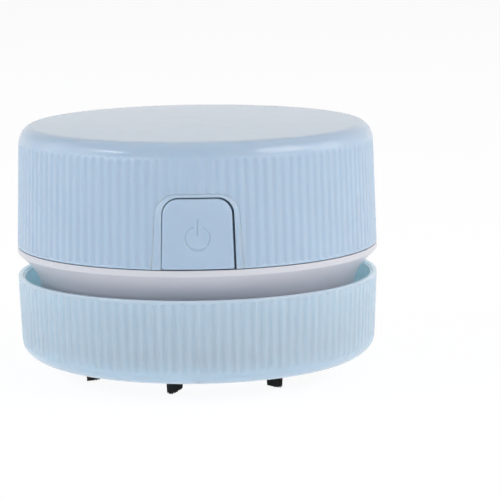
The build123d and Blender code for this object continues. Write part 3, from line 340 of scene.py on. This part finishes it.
# %% Cover the wires
SLEEVE_SPLIT = 4.5 * MM
wire_sleeve = moulded_plastic("wire_sleeve", srgb(40, 40, 42), 0.35, 0.2, 0.05)
tree = wire_sleeve.node_tree
skin = tree.nodes["Principled BSDF"]
place = tree.nodes.new("ShaderNodeTexCoord")
split = tree.nodes.new("ShaderNodeSeparateXYZ")
right = tree.nodes.new("ShaderNodeMath")
right.operation = "GREATER_THAN"
right.inputs[1].default_value = SLEEVE_SPLIT
sleeve = tree.nodes.new("ShaderNodeMix")
sleeve.data_type = "RGBA"
sleeve.inputs["A"].default_value = (*srgb(44, 44, 47), 1)
sleeve.inputs["B"].default_value = (*srgb(178, 40, 34), 1)
tree.links.new(place.outputs["Object"], split.inputs["Vector"])
tree.links.new(split.outputs["X"], right.inputs[0])
tree.links.new(right.outputs[0], sleeve.inputs["Factor"])
tree.links.new(sleeve.outputs["Result"], skin.inputs["Base Color"])
dress(wire_sleeve, "wires")

# %% Weave the filter cloth
filter_cloth = bpy.data.materials.new("filter_cloth")
filter_cloth.use_nodes = True
tree = filter_cloth.node_tree
skin = tree.nodes["Principled BSDF"]
skin.inputs["Roughness"].default_value = 0.85
place = tree.nodes.new("ShaderNodeTexCoord")
threads = []
for axis in ("X", "Y"):
    thread = tree.nodes.new("ShaderNodeTexWave")
    thread.bands_direction = axis
    thread.inputs["Scale"].default_value = 260
    thread.inputs["Distortion"].default_value = 0.4
    tree.links.new(place.outputs["Object"], thread.inputs["Vector"])
    threads.append(thread)
weave = tree.nodes.new("ShaderNodeMath")
weave.operation = "MAXIMUM"
tree.links.new(threads[0].outputs["Fac"], weave.inputs[0])
tree.links.new(threads[1].outputs["Fac"], weave.inputs[1])
cloth = tree.nodes.new("ShaderNodeMix")
cloth.data_type = "RGBA"
cloth.inputs["A"].default_value = (0.45, 0.46, 0.47, 1)
cloth.inputs["B"].default_value = (0.84, 0.85, 0.86, 1)
bump = tree.nodes.new("ShaderNodeBump")
bump.inputs["Strength"].default_value = 0.6
bump.inputs["Distance"].default_value = 0.1 * MM
tree.links.new(weave.outputs[0], cloth.inputs["Factor"])
tree.links.new(cloth.outputs["Result"], skin.inputs["Base Color"])
tree.links.new(weave.outputs[0], bump.inputs["Height"])
tree.links.new(bump.outputs["Normal"], skin.inputs["Normal"])
dress(filter_cloth, "filter_mesh")

# %% Wrap the cells
BARE_END = 1.9 * MM


def cell_sleeve(name, node):
    """A dark sleeve on a steel tube that is bare at each end."""
    low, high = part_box(node)
    material = bpy.data.materials.new(name)
    material.use_nodes = True
    tree = material.node_tree
    skin = tree.nodes["Principled BSDF"]
    place = tree.nodes.new("ShaderNodeTexCoord")
    split = tree.nodes.new("ShaderNodeSeparateXYZ")
    middle = tree.nodes.new("ShaderNodeMath")
    middle.operation = "SUBTRACT"
    middle.inputs[1].default_value = (low.y + high.y) / 2
    reach = tree.nodes.new("ShaderNodeMath")
    reach.operation = "ABSOLUTE"
    bare = tree.nodes.new("ShaderNodeMath")
    bare.operation = "GREATER_THAN"
    bare.inputs[1].default_value = (high.y - low.y) / 2 - BARE_END
    finish = tree.nodes.new("ShaderNodeMix")
    finish.data_type = "RGBA"
    finish.inputs["A"].default_value = (*srgb(72, 84, 92), 1)
    finish.inputs["B"].default_value = (0.70, 0.70, 0.68, 1)
    tree.links.new(place.outputs["Object"], split.inputs["Vector"])
    tree.links.new(split.outputs["Y"], middle.inputs[0])
    tree.links.new(middle.outputs[0], reach.inputs[0])
    tree.links.new(reach.outputs[0], bare.inputs[0])
    tree.links.new(bare.outputs[0], finish.inputs["Factor"])
    tree.links.new(finish.outputs["Result"], skin.inputs["Base Color"])
    tree.links.new(bare.outputs[0], skin.inputs["Metallic"])
    skin.inputs["Roughness"].default_value = 0.28
    return material


for side in ("left", "right"):
    dress(cell_sleeve("cell_sleeve_" + side, "battery_" + side), "battery_" + side)

# %% [markdown]
# ## The fluted shells
# Both shells are turned forms with 120 shallow flutes pressed into their walls. A turned form is a
# half section spun about the middle, so the section is drawn first: a few corners joined by edges,
# and a quarter circle that is spun from one point and stretched into an oval for each rounding.
# The flutes could be cut out with 120 tools. Here one slice of the wall is spun, its points are
# pushed in by a smooth wave, and the slice is repeated all the way round. The wave is measured from
# the surface, so a flute follows the wall and the start of its rounding. It fades at both ends.

# %% Draw and spin half sections
def add_line(section, *corners):
    """Join a few (radius, height) corners, in millimetres, with straight edges."""
    verts = [section.verts.new((radius * MM, 0, height * MM)) for radius, height in corners]
    for first, second in zip(verts, verts[1:]):
        section.edges.new((first, second))
    return verts


def add_oval(section, vert, centre, stretch, turn, steps):
    """Spin an arc from a vertex about a centre, stretch it along Z, and hand back its last vertex."""
    middle = Vector((centre[0], 0, centre[1])) * MM
    before = set(section.verts)
    made = bmesh.ops.spin(
        section, geom=[vert], cent=middle, axis=(0, 1, 0), angle=math.radians(turn), steps=steps,
    )
    for point in set(section.verts) - before:
        point.co.z = middle.z + (point.co.z - middle.z) * stretch
    return [item for item in made["geom_last"] if isinstance(item, bmesh.types.BMVert)][0]


def spin_round(section, steps):
    """Turn a half section about Z into a closed form."""
    bmesh.ops.spin(
        section, geom=section.verts[:] + section.edges[:], cent=(0, 0, 0), axis=(0, 0, 1),
        angle=2 * math.pi, steps=steps, use_merge=True,
    )
    bmesh.ops.remove_doubles(section, verts=section.verts, dist=0.0005 * MM)
    bmesh.ops.recalc_face_normals(section, faces=section.faces)


def spin_repeated(section, copies, steps, press):
    """Spin one slice of a form, press its flute, and repeat the slice all the way round."""
    slice_angle = 2 * math.pi / copies
    bmesh.ops.spin(
        section, geom=section.verts[:] + section.edges[:], cent=(0, 0, 0), axis=(0, 0, 1),
        angle=slice_angle, steps=steps,
    )
    press(section)
    bmesh.ops.spin(
        section, geom=section.verts[:] + section.edges[:] + section.faces[:], cent=(0, 0, 0),
        axis=(0, 0, 1), angle=slice_angle * (copies - 1), steps=copies - 1, use_duplicate=True,
    )
    bmesh.ops.remove_doubles(section, verts=section.verts, dist=0.0005 * MM)
    bmesh.ops.recalc_face_normals(section, faces=section.faces)


# %% Press the flutes into a wall
FLUTES = 120
FLUTE_WIDTH = 2.1
FRONT = math.radians(270)


def smooth_lower(first, second, blend):
    """The lower of two values, with the corner between them rounded."""
    share = min(1, max(0, 0.5 + 0.5 * (second - first) / blend))
    return second * (1 - share) + first * share - blend * share * (1 - share)


def press_flutes(shape, wall_radius, depth, low, high, start, run_in):
    """Push the outer wall in along soft grooves, from one height to another, in millimetres."""
    pitch = 2 * math.pi / FLUTES
    pressed = 0
    for vert in shape.verts:
        x, y, z = vert.co / MM
        radius = math.hypot(x, y)
        line = wall_radius(z)
        if not low < z < high or radius < line - 1.0:
            continue
        place = ((math.atan2(y, x) - start) / pitch + 0.5) % 1 - 0.5
        reach = min(1, abs(place) * pitch * line / (FLUTE_WIDTH / 2))
        share = min(1, (z - low) / run_in[0], (high - z) / run_in[1])
        share = share * share * (3 - 2 * share)
        wave = depth * share * (1 + math.cos(math.pi * reach)) / 2
        vert.co.xy *= (radius - wave) / radius
        pressed += 1
    print(pressed, "points of the slice carry the flute")


# %% [markdown]
# ## The top housing
# The housing is a cap: a wall that leans in a little, an oval shoulder and a nearly flat top. Its
# lower rim is rounded. The section runs from the ceiling down the inside, round the rim, up the
# outside and over the top, so that the spun form is one closed wall with its true thickness.

# %% Turn the housing
SEAM, SHOULDER, CROWN = 31.5, 55.5, 60.8
WALL_FOOT, WALL_HEAD, WALL_INSIDE = 43.0, 42.27, 40.57  # radii
TOP_RADIUS = 38.87  # where the oval shoulder meets the top
HOUSING_FLUTE = 0.22


def housing_wall(z):
    """Radius of the housing's outer wall at a height, in millimetres."""
    return WALL_FOOT - 0.73 * (z - SEAM) / (SHOULDER - SEAM)


housing_section = bmesh.new()
FOOT_GAP = 0.14  # a hairline between the housing and the neck's lip
rows = [SEAM + 0.45 + step * 0.14 for step in range(5)] + [36, 44, 51, 54.6]
wall = add_line(
    housing_section, (WALL_INSIDE, SHOULDER), (41.3, SEAM + FOOT_GAP), (WALL_FOOT, SEAM + FOOT_GAP),
    *[(housing_wall(z), z) for z in rows], (WALL_HEAD, SHOULDER),
)
shoulder = add_oval(housing_section, wall[-1], (TOP_RADIUS, SHOULDER), 4.74 / 3.4, -90, 26)
crown_line = [(r, CROWN - 0.56 * (r / TOP_RADIUS) ** 2) for r in (37, 30, 20, 10, 0)]
crown = add_line(housing_section, *crown_line)
ceiling = add_line(housing_section, (TOP_RADIUS, 58.54), (20, 58.95), (0, 59.1))
corner = add_oval(housing_section, wall[0], (TOP_RADIUS, SHOULDER), 3.04 / 1.7, -90, 5)
housing_section.edges.new((shoulder, crown[0]))
housing_section.edges.new((corner, ceiling[1]))
bmesh.ops.delete(housing_section, geom=[ceiling[0]], context="VERTS")
bmesh.ops.bevel(
    housing_section, geom=[wall[1], wall[2]], offset=0.3 * MM, affect="VERTICES", segments=3,
    profile=0.5, material=-1,
)
spin_repeated(
    housing_section, FLUTES, 12,
    lambda part: press_flutes(part, housing_wall, HOUSING_FLUTE, SEAM + 0.4, 57.2, FRONT, (0.5, 1.6)),
)
fluted_housing = mesh_object("fluted_housing", housing_section)
print("the housing has", len(fluted_housing.data.polygons), "faces")

# %% [markdown]
# ## The notch and the pad round the button
# The button sits in a notch that is open below. Round it lies a smooth pad, a little proud of the
# flutes. Both follow one outline: a four-cornered face whose upper corners are rounded. The face is
# sliced into upright strips, thickened, and bent onto the round wall.

# %% Draw the button's outline
BUTTON_TOP = 47.8


def button_outline(side, flare, top, foot, corner, shift=0.0):
    """The button's outline as a flat face, grown by margins in millimetres."""
    shape = bmesh.new()
    low, high = 8.3 + side + flare, 7.8 + side
    places = [(-low, foot), (low, foot), (high, BUTTON_TOP + top), (-high, BUTTON_TOP + top)]
    verts = [shape.verts.new(((x + shift) * MM, 0, z * MM)) for x, z in places]
    shape.faces.new(verts)
    bmesh.ops.bevel(
        shape, geom=verts[2:], offset=corner * MM, affect="VERTICES", segments=12, profile=0.5, material=-1,
    )
    return shape


def thicken(shape, front, back):
    """Pull a flat face apart into a plate between two depths along Y, in millimetres."""
    made = bmesh.ops.extrude_face_region(shape, geom=shape.faces[:])["geom"]
    behind = [v for v in made if isinstance(v, bmesh.types.BMVert)]
    ahead = [v for v in shape.verts if v not in made]
    bmesh.ops.translate(shape, verts=ahead, vec=(0, front * MM, 0))
    bmesh.ops.translate(shape, verts=behind, vec=(0, back * MM, 0))
    bmesh.ops.recalc_face_normals(shape, faces=shape.faces)


def slice_upright(shape, half_width, step):
    """Cut a shape with upright planes, evenly spaced across."""
    count = int(half_width / step)
    for index in range(-count, count + 1):
        bmesh.ops.bisect_plane(
            shape, geom=shape.verts[:] + shape.edges[:] + shape.faces[:],
            plane_co=(index * step * MM, 0, 0), plane_no=(1, 0, 0),
        )


def bend_onto_wall(shape, proud):
    """Move every point of a flat shape along Y, so that it follows the housing's wall."""
    for vert in shape.verts:
        radius = (housing_wall(vert.co.z / MM) + proud) * MM
        vert.co.y -= math.sqrt(radius * radius - vert.co.x * vert.co.x)


def carve(piece, cutter):
    """Cut one object out of another."""
    cut = piece.modifiers.new("cut", "BOOLEAN")
    cut.operation = "DIFFERENCE"
    cut.solver = "EXACT"
    cut.object = cutter
    bpy.context.view_layer.update()
    result = bpy.data.meshes.new_from_object(piece.evaluated_get(bpy.context.evaluated_depsgraph_get()))
    piece.modifiers.clear()
    piece.data = result


# %% Shape the pad and cut the notch
pad_shape = button_outline(1.45, 0.8, 1.0, SEAM + FOOT_GAP, 4.6)
thicken(pad_shape, 0, 1.2)
rim_edges = [
    edge for edge in pad_shape.edges
    if sum(face.normal.y < -0.9 for face in edge.link_faces) == 1
]
bmesh.ops.bevel(
    pad_shape, geom=rim_edges, offset=0.3 * MM, affect="EDGES", segments=4, profile=0.5, material=-1,
)
slice_upright(pad_shape, 12, 0.5)
bend_onto_wall(pad_shape, 0.15)
pad = mesh_object("pad", pad_shape)

notch_shape = button_outline(0.30, 0, 0.28, SEAM - 1, 3.8, shift=0.2)
thicken(notch_shape, -45, -36)
notch = mesh_object("notch", notch_shape)
carve(fluted_housing, notch)
carve(pad, notch)
bpy.data.objects.remove(notch)
print("the pad has", len(pad.data.polygons), "faces")

# %% [markdown]
# ## Hold-down ribs
# Under the housing's top hang four ribs that keep the cells in their cradles. Each is a plate with a
# round bite for the cell. An arc is spun about the cell's axis, pulled up to the ceiling, and
# thickened. The ribs, the pad and the wall are one moulding, so they become one object.

# %% Hang the ribs and join the moulding
CELL_X, CELL_Z, CELL_BITE = 18.85, 39.5, 7.55
RIB_THICKNESS, RIB_HEAD = 1.2, 59.3
BITE_START = math.radians(44)


def hold_down_rib(x, y):
    """One rib over a cell, from its round bite up to the ceiling."""
    shape = bmesh.new()
    middle = Vector((x, y - 0.6, CELL_Z)) * MM
    bite = Vector((CELL_BITE * math.cos(BITE_START), 0, CELL_BITE * math.sin(BITE_START)))
    first = shape.verts.new(middle + bite * MM)
    bmesh.ops.spin(shape, geom=[first], cent=middle, axis=(0, 1, 0), angle=math.radians(-92), steps=24)
    raised = bmesh.ops.extrude_edge_only(shape, edges=shape.edges[:])["geom"]
    for vert in raised:
        if isinstance(vert, bmesh.types.BMVert):
            vert.co.z = RIB_HEAD * MM
    plate = bmesh.ops.extrude_face_region(shape, geom=shape.faces[:])["geom"]
    back = [v for v in plate if isinstance(v, bmesh.types.BMVert)]
    bmesh.ops.translate(shape, verts=back, vec=(0, RIB_THICKNESS * MM, 0))
    bmesh.ops.recalc_face_normals(shape, faces=shape.faces)
    return mesh_object("rib", shape)


def join_pieces(name, *pieces):
    """Put several objects' meshes into one object."""
    whole = bmesh.new()
    for piece in pieces:
        whole.from_mesh(piece.data)
        bpy.data.objects.remove(piece)
    return mesh_object(name, whole)


def smooth_over(piece, angle):
    """Shade a piece smoothly, with hard edges only past an angle."""
    for face in piece.data.polygons:
        face.use_smooth = True
    piece.data.set_sharp_from_angle(angle=math.radians(angle))


def put_on(piece, material, slot, body, *nodes_replaced):
    """Finish a piece, name its body, and let it stand for CAD nodes; its slot is not used."""
    piece.data.materials.clear()
    piece.data.materials.append(material)
    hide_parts(*nodes_replaced)
    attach(piece, body)


ribs = [hold_down_rib(side * CELL_X, y) for side in (-1, 1) for y in (-8.5, 8.5)]
fluted_housing = join_pieces("fluted_housing", fluted_housing, pad, *ribs)
smooth_over(fluted_housing, 40)
put_on(fluted_housing, shell_blue, "blue_shell", "housing", "top_housing")
print("the whole housing has", len(fluted_housing.data.polygons), "faces")

# %% [markdown]
# ## The dust bin
# The bin is a cup whose wall leans out towards the rim. Its floor has a channel below for the brush
# ring, a raised step above that channel, and a short pipe in the middle that the crumbs come in by.
# Wall and floor are spun apart, because the floor needs far fewer steps than the fluted wall.

# %% Turn the bin's wall
RIM, TURN, FOOT = 24.6, 9.35, 4.2
FLOOR_RADIUS = 33.5
BIN_FLUTE = 0.21


def bin_wall(z):
    """Radius of the bin's outer wall at a height, in millimetres."""
    return 43.0 - 0.6 * (RIM - z) / (RIM - TURN)


bin_section = bmesh.new()
rows = [TURN + 1, 14, 19, 22.6] + [23.3 + step * 0.15 for step in range(6)]
wall = add_line(
    bin_section, (42.4, TURN), *[(bin_wall(z), z) for z in rows], (43.0, RIM), (41.9, RIM),
    (41.9, RIM - 0.6), (41.38, RIM - 0.6), (40.8, TURN),
)
outside = add_oval(bin_section, wall[0], (35.6, TURN), 5.15 / 6.8, 90, 26)
inside = add_oval(bin_section, wall[-1], (35.6, TURN), 3.55 / 5.2, 90, 6)
lower = add_line(bin_section, (FLOOR_RADIUS, FOOT), (FLOOR_RADIUS, FOOT + 1.6))
bin_section.edges.new((outside, lower[0]))
bin_section.edges.new((lower[1], inside))
bmesh.ops.bevel(
    bin_section, geom=[wall[-5], wall[-4]], offset=0.28 * MM, affect="VERTICES", segments=3,
    profile=0.5, material=-1,
)
spin_repeated(
    bin_section, FLUTES, 12,
    lambda part: press_flutes(
        part, bin_wall, BIN_FLUTE, 7.2, RIM - 0.5, FRONT + math.pi / FLUTES, (1.2, 0.5),
    ),
)
bin_side = mesh_object("bin_side", bin_section)
print("the bin's wall has", len(bin_side.data.polygons), "faces")

# %% Turn the bin's floor and add its ledges
floor_section = bmesh.new()
loop = add_line(
    floor_section, (FLOOR_RADIUS, FOOT), (30.9, FOOT), (30.9, 5.6), (24.7, 5.6), (24.7, FOOT),
    (9.0, FOOT), (9.0, 9.2), (10.2, 9.2), (10.2, 5.8), (23.5, 5.8), (23.5, 7.0), (32.1, 7.0),
    (32.1, 5.8), (FLOOR_RADIUS, 5.8),
)
floor_section.edges.new((loop[-1], loop[0]))
bmesh.ops.bevel(
    floor_section, geom=loop[1:13], offset=0.2 * MM, affect="VERTICES", segments=2, profile=0.5,
    material=-1,
)
spin_round(floor_section, 180)
bin_floor = mesh_object("bin_floor", floor_section)
print("the bin's floor has", len(bin_floor.data.polygons), "faces")


def bin_ledge(angle):
    """One upright ledge inside the bin's wall, which the filter holder rests on."""
    shape = bmesh.new()
    cube = bmesh.ops.create_cube(shape, size=MM)["verts"]
    bmesh.ops.scale(shape, verts=cube, vec=(3.0, 1.2, 7.0))
    bmesh.ops.translate(shape, verts=cube, vec=(40.0 * MM, 0, 8.5 * MM))
    for vert in shape.verts:
        if vert.co.x > 40 * MM:
            vert.co.x -= 0.4 * (12 - vert.co.z / MM) * MM
    top = [edge for edge in shape.edges if all(v.co.z > 11.9 * MM for v in edge.verts)]
    bmesh.ops.bevel(shape, geom=top, offset=0.15 * MM, affect="EDGES", segments=2, profile=0.5, material=-1)
    bmesh.ops.rotate(shape, verts=shape.verts, cent=(0, 0, 0), matrix=Matrix.Rotation(angle, 3, "Z"))
    return mesh_object("ledge", shape)


ledges = [bin_ledge(math.radians(30 + 60 * index)) for index in range(6)]
fluted_bin = join_pieces("fluted_bin", bin_side, bin_floor, *ledges)
smooth_over(fluted_bin, 40)
put_on(fluted_bin, bin_blue_painted_light, "blue_shell", "cup", "dust_bin")
print("the whole bin has", len(fluted_bin.data.polygons), "faces")

# %% [markdown]
# ## The neck's curve
# The white moulding has a narrow upright band under the housing. Below the band it runs inwards in
# one soft curve, down into the bin. The CAD model has two straight slopes there. Rather than a new
# piece, a merged copy of the CAD moulding is cut into thin rings, and each ring's points are moved
# out or in to the curve. Its slots, bosses and inner walls stay as they are.

# %% Curve a copy of the neck
BAND_FOOT, WAIST_HEIGHT, WAIST = 30.1, 21.4, 37.6
STRAIGHT_WALL = [(31.5, 43.0), (28.95, 43.0), (26.55, 39.3), (21.4, 37.6), (18.0, 37.6)]


def straight_wall(z):
    """The CAD neck's outer radius at a height, its corners still sharp."""
    for (high, top), (low, foot) in zip(STRAIGHT_WALL, STRAIGHT_WALL[1:]):
        if low <= z <= high:
            return foot + (top - foot) * (z - low) / (high - low)
    return 99.0


def curved_wall(z):
    """The neck's outer radius at a height: an upright band above a curve down to the waist."""
    share = max(0, (z - WAIST_HEIGHT) / (BAND_FOOT - WAIST_HEIGHT))
    return smooth_lower(43.0, WAIST + (43.0 - WAIST) * share ** 2.0, 0.25)


def outer_faces(shape):
    """The faces of the neck's outer wall, without its slots' sides."""
    return [
        face for face in shape.faces
        if all(math.hypot(*vert.co.xy) / MM > straight_wall(vert.co.z / MM) - 0.65 for vert in face.verts)
    ]


def with_edges(faces):
    """Faces together with their edges and corners, as a cut needs them."""
    edges = {edge for face in faces for edge in face.edges}
    return faces + list(edges | {vert for face in faces for vert in face.verts})


neck_shape = bmesh.new()
neck_shape.from_mesh(nodes["neck_frame"].data)
bmesh.ops.remove_doubles(neck_shape, verts=neck_shape.verts, dist=0.001 * MM)
levels = [21.6 + step * 0.4 for step in range(20)] + [29.5 + step * 0.1 for step in range(12)]
for level in levels:
    faces = outer_faces(neck_shape)
    bmesh.ops.bisect_plane(
        neck_shape, geom=with_edges(faces), plane_co=(0, 0, level * MM), plane_no=(0, 0, 1),
    )
for vert in {vert for face in outer_faces(neck_shape) for vert in face.verts}:
    radius, z = math.hypot(*vert.co.xy) / MM, vert.co.z / MM
    if 21.0 < z < 31.3:
        vert.co.xy *= curved_wall(z) / radius
curved_neck = mesh_object("curved_neck", neck_shape)
smooth_over(curved_neck, 32)
put_on(curved_neck, neck_white, "white_plastic", "base", "neck_frame")
print("the neck has", len(curved_neck.data.polygons), "faces")

# %% [markdown]
# ## The switch's spring
# A small coil behind the button pushes it back out. When the button goes in, the coil's front end
# goes with it and its back end stays, so the coil gets shorter. A CAD piece can only slide whole and
# would slide into the switch. A merged copy stands for it instead, and it rides on the fixed parts.

coil_shape = bmesh.new()
coil_shape.from_mesh(nodes["switch_spring"].data)
bmesh.ops.remove_doubles(coil_shape, verts=coil_shape.verts, dist=0.001 * MM)
button_coil = mesh_object("button_coil", coil_shape)
smooth_over(button_coil, 32)
put_on(button_coil, drawn_steel, "steel", "base", "switch_spring")
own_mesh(button_coil)

# %% [markdown]
# ## The button and its power sign
# The button carries the usual sign for power: a ring that is open at the top, with a bar in the
# gap, pressed into the plastic as a fine groove. A Boolean cut would leave long thin faces that
# shade badly on a curved face. So a face plate is made flat, sliced into a fine mesh round the sign,
# its points are pushed in by the groove's own shape, and it is bent onto the wall. The rest of the
# button, with its flange, rails and socket, is a merged copy of the CAD piece behind that plate.

# %% Define the sign's groove
SIGN_X, SIGN_Z = 0.07, 38.85
RING_RADIUS, RING_GAP = 2.76, math.radians(27)
BAR_LOW, BAR_HIGH = 0.9, 4.15
GROOVE_HALF, GROOVE_DEPTH = 0.34, 0.25
DISH_RADIUS, DISH_DEPTH = 5.2, 0.2  # the shallow dish for a fingertip


def sign_groove(x, z):
    """How deep the groove is at a place on the button's face, all in millimetres."""
    across, up = x - SIGN_X, z - SIGN_Z
    if abs(math.atan2(across, up)) > RING_GAP:
        ring = abs(math.hypot(across, up) - RING_RADIUS)
    else:
        end_x, end_z = RING_RADIUS * math.sin(RING_GAP), RING_RADIUS * math.cos(RING_GAP)
        ring = math.hypot(abs(across) - end_x, up - end_z)
    bar = math.hypot(across, max(BAR_LOW - up, 0, up - BAR_HIGH))
    reach = min(ring, bar, GROOVE_HALF) / GROOVE_HALF
    groove = GROOVE_DEPTH * (1 + math.cos(math.pi * reach)) / 2
    dish = 1 - min(1, (across * across + up * up) / DISH_RADIUS ** 2)
    return groove + DISH_DEPTH * dish * dish


# %% Make the face plate and press the sign
PLATE_DEPTH, PLATE_EDGE = 1.0, 0.42
plate_shape = button_outline(0, 0, 0, SEAM + 0.25, 3.6)
bottom = [vert for vert in plate_shape.verts if vert.co.z < (SEAM + 0.3) * MM]
bmesh.ops.bevel(
    plate_shape, geom=bottom, offset=0.7 * MM, affect="VERTICES", segments=4, profile=0.5, material=-1,
)
thicken(plate_shape, 0, PLATE_DEPTH)
rim_edges = [
    edge for edge in plate_shape.edges
    if sum(face.normal.y < -0.9 for face in edge.link_faces) == 1
]
bmesh.ops.bevel(
    plate_shape, geom=rim_edges, offset=PLATE_EDGE * MM, affect="EDGES", segments=5, profile=0.5,
    material=-1,
)
slice_upright(plate_shape, 9, 0.5)


def slice_face(place, across, wide=False):
    """Cut the flat front face along one line, upright or across, near the sign or all the way."""
    faces = [face for face in plate_shape.faces if all(abs(vert.co.y) < 1e-7 for vert in face.verts)]
    if across and not wide:
        faces = [face for face in faces if abs(face.calc_center_median().x / MM - SIGN_X) < 3.3]
    where, normal = ((0, 0, place * MM), (0, 0, 1)) if across else ((place * MM, 0, 0), (1, 0, 0))
    bmesh.ops.bisect_plane(plate_shape, geom=with_edges(faces), plane_co=where, plane_no=normal)


for step in range(-33, 34):
    slice_face(SIGN_X + step / 10, across=False)
for step in range(-11, 12):
    slice_face(SIGN_Z + step / 2, across=True, wide=True)
for step in range(-33, 48):
    if step % 5:
        slice_face(SIGN_Z + step / 10, across=True)
for vert in plate_shape.verts:
    if abs(vert.co.y) < 1e-7:
        vert.co.y = sign_groove(vert.co.x / MM, vert.co.z / MM) * MM
bend_onto_wall(plate_shape, 0.15)
face_plate = mesh_object("face_plate", plate_shape)
print("the face plate has", len(face_plate.data.polygons), "faces")

# %% Seat the plate on a copy of the button
button_shape = bmesh.new()
button_shape.from_mesh(nodes["power_button"].data)
bmesh.ops.remove_doubles(button_shape, verts=button_shape.verts, dist=0.001 * MM)
for vert in button_shape.verts:
    x, y, z = vert.co / MM
    face = -math.sqrt((housing_wall(z) + 0.15) ** 2 - x * x)
    if y < face + 0.4:
        vert.co.y = (face + 0.5) * MM
button_cap = join_pieces("button_cap", mesh_object("button_back", button_shape), face_plate)
smooth_over(button_cap, 35)
put_on(button_cap, shell_blue, "blue_shell", "button", "power_button")
print("the button has", len(button_cap.data.polygons), "faces")

# %% [markdown]
# ## Bristle tufts
# Each tuft is a bundle of stiff nylon bristles, punched into the ring and cut off by hand, so that
# the ends are ragged. One bent bristle is drawn first. It is then copied into a honeycomb of holes,
# and each copy is turned, leaned outwards and cut to its own length.

# %% Bend one bristle
def bristle_mesh(radius, length):
    """A thin five-sided thread that bends a little along its way down from the origin."""
    shape = bmesh.new()
    ring = bmesh.ops.create_circle(shape, segments=5, radius=radius, cap_ends=True)["verts"]
    for step in range(3):
        faces = [face for face in shape.faces if all(vert in ring for vert in face.verts)]
        made = bmesh.ops.extrude_discrete_faces(shape, faces=faces)["faces"]
        ring = [vert for face in made for vert in face.verts]
        bmesh.ops.translate(shape, verts=ring, vec=(0.025 * length * step, 0, -length / 3))
    bmesh.ops.scale(shape, verts=ring, vec=(0.6, 0.6, 1))
    bmesh.ops.recalc_face_normals(shape, faces=shape.faces)
    mesh = bpy.data.meshes.new("bristle")
    shape.to_mesh(mesh)
    shape.free()
    return mesh


BRISTLE_RADIUS = 0.11 * MM
TUFT_CIRCLE = 27.8 * MM
TUFT_RADIUS = 2.1 * MM
TUFT_TOP = 5.4 * MM
FIRST_TUFT = 258  # degrees round the ring
HOLE_PITCH = 0.27 * MM
BRISTLE_REACH = 5.35
one_bristle = bristle_mesh(BRISTLE_RADIUS, 1.0 * MM)

# %% Plant the tufts
# For each tuft: where along it the bristles are longest, and how much the others are cut back.
TIPS = [(-0.45, 0.75), (0.1, 0.5), (0.7, 0.3), (-0.6, 0.6), (0.3, 0.4), (0.0, 0.8), (-0.75, 0.75)]
chance = random.Random(7)
tufts_shape = bmesh.new()
count = 0
for tuft, (tip, cut) in enumerate(TIPS):
    angle = math.radians(FIRST_TUFT + tuft * 360 / len(TIPS))
    centre = Vector((TUFT_CIRCLE * math.cos(angle), TUFT_CIRCLE * math.sin(angle), TUFT_TOP))
    along = Vector((-math.sin(angle), math.cos(angle), 0))
    for row in range(-9, 10):
        for column in range(-9, 10):
            spot = Vector(((column + (row % 2) / 2) * HOLE_PITCH, row * HOLE_PITCH * math.sqrt(3) / 2, 0))
            if spot.length > TUFT_RADIUS - BRISTLE_RADIUS:
                continue
            first = len(tufts_shape.verts)
            tufts_shape.from_mesh(one_bristle)
            tufts_shape.verts.ensure_lookup_table()
            copied = tufts_shape.verts[first:]
            worn = cut * abs(spot.dot(along) / TUFT_RADIUS - tip) ** 1.5
            reach = BRISTLE_REACH - worn - chance.uniform(0, 0.3)
            if chance.random() < 0.2:
                reach -= chance.uniform(0, 0.6)
            tilt = spot.length / TUFT_RADIUS * 0.04 + chance.uniform(-0.02, 0.02)
            lean = Matrix.Rotation(tilt, 4, Vector((-spot.y, spot.x, 0.0001 * MM)))
            turn = Matrix.Rotation(chance.uniform(0, 2 * math.pi), 4, "Z")
            bmesh.ops.transform(
                tufts_shape, verts=copied,
                matrix=Matrix.Translation(centre + spot) @ lean @ turn
                @ Matrix.Scale(reach, 4, (0, 0, 1)),
            )
            count += 1
lowest = min(vert.co.z for vert in tufts_shape.verts)
print(count, "bristles, the lowest tip at", round(lowest / MM, 3), "mm")
bmesh.ops.translate(tufts_shape, verts=tufts_shape.verts, vec=(0, 0, max(0, -lowest)))
bristle_tufts = mesh_object("bristle_tufts", tufts_shape)
bristle_tufts.data.materials.append(bristle_nylon)
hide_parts("brush_tufts")
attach(bristle_tufts, "cup")
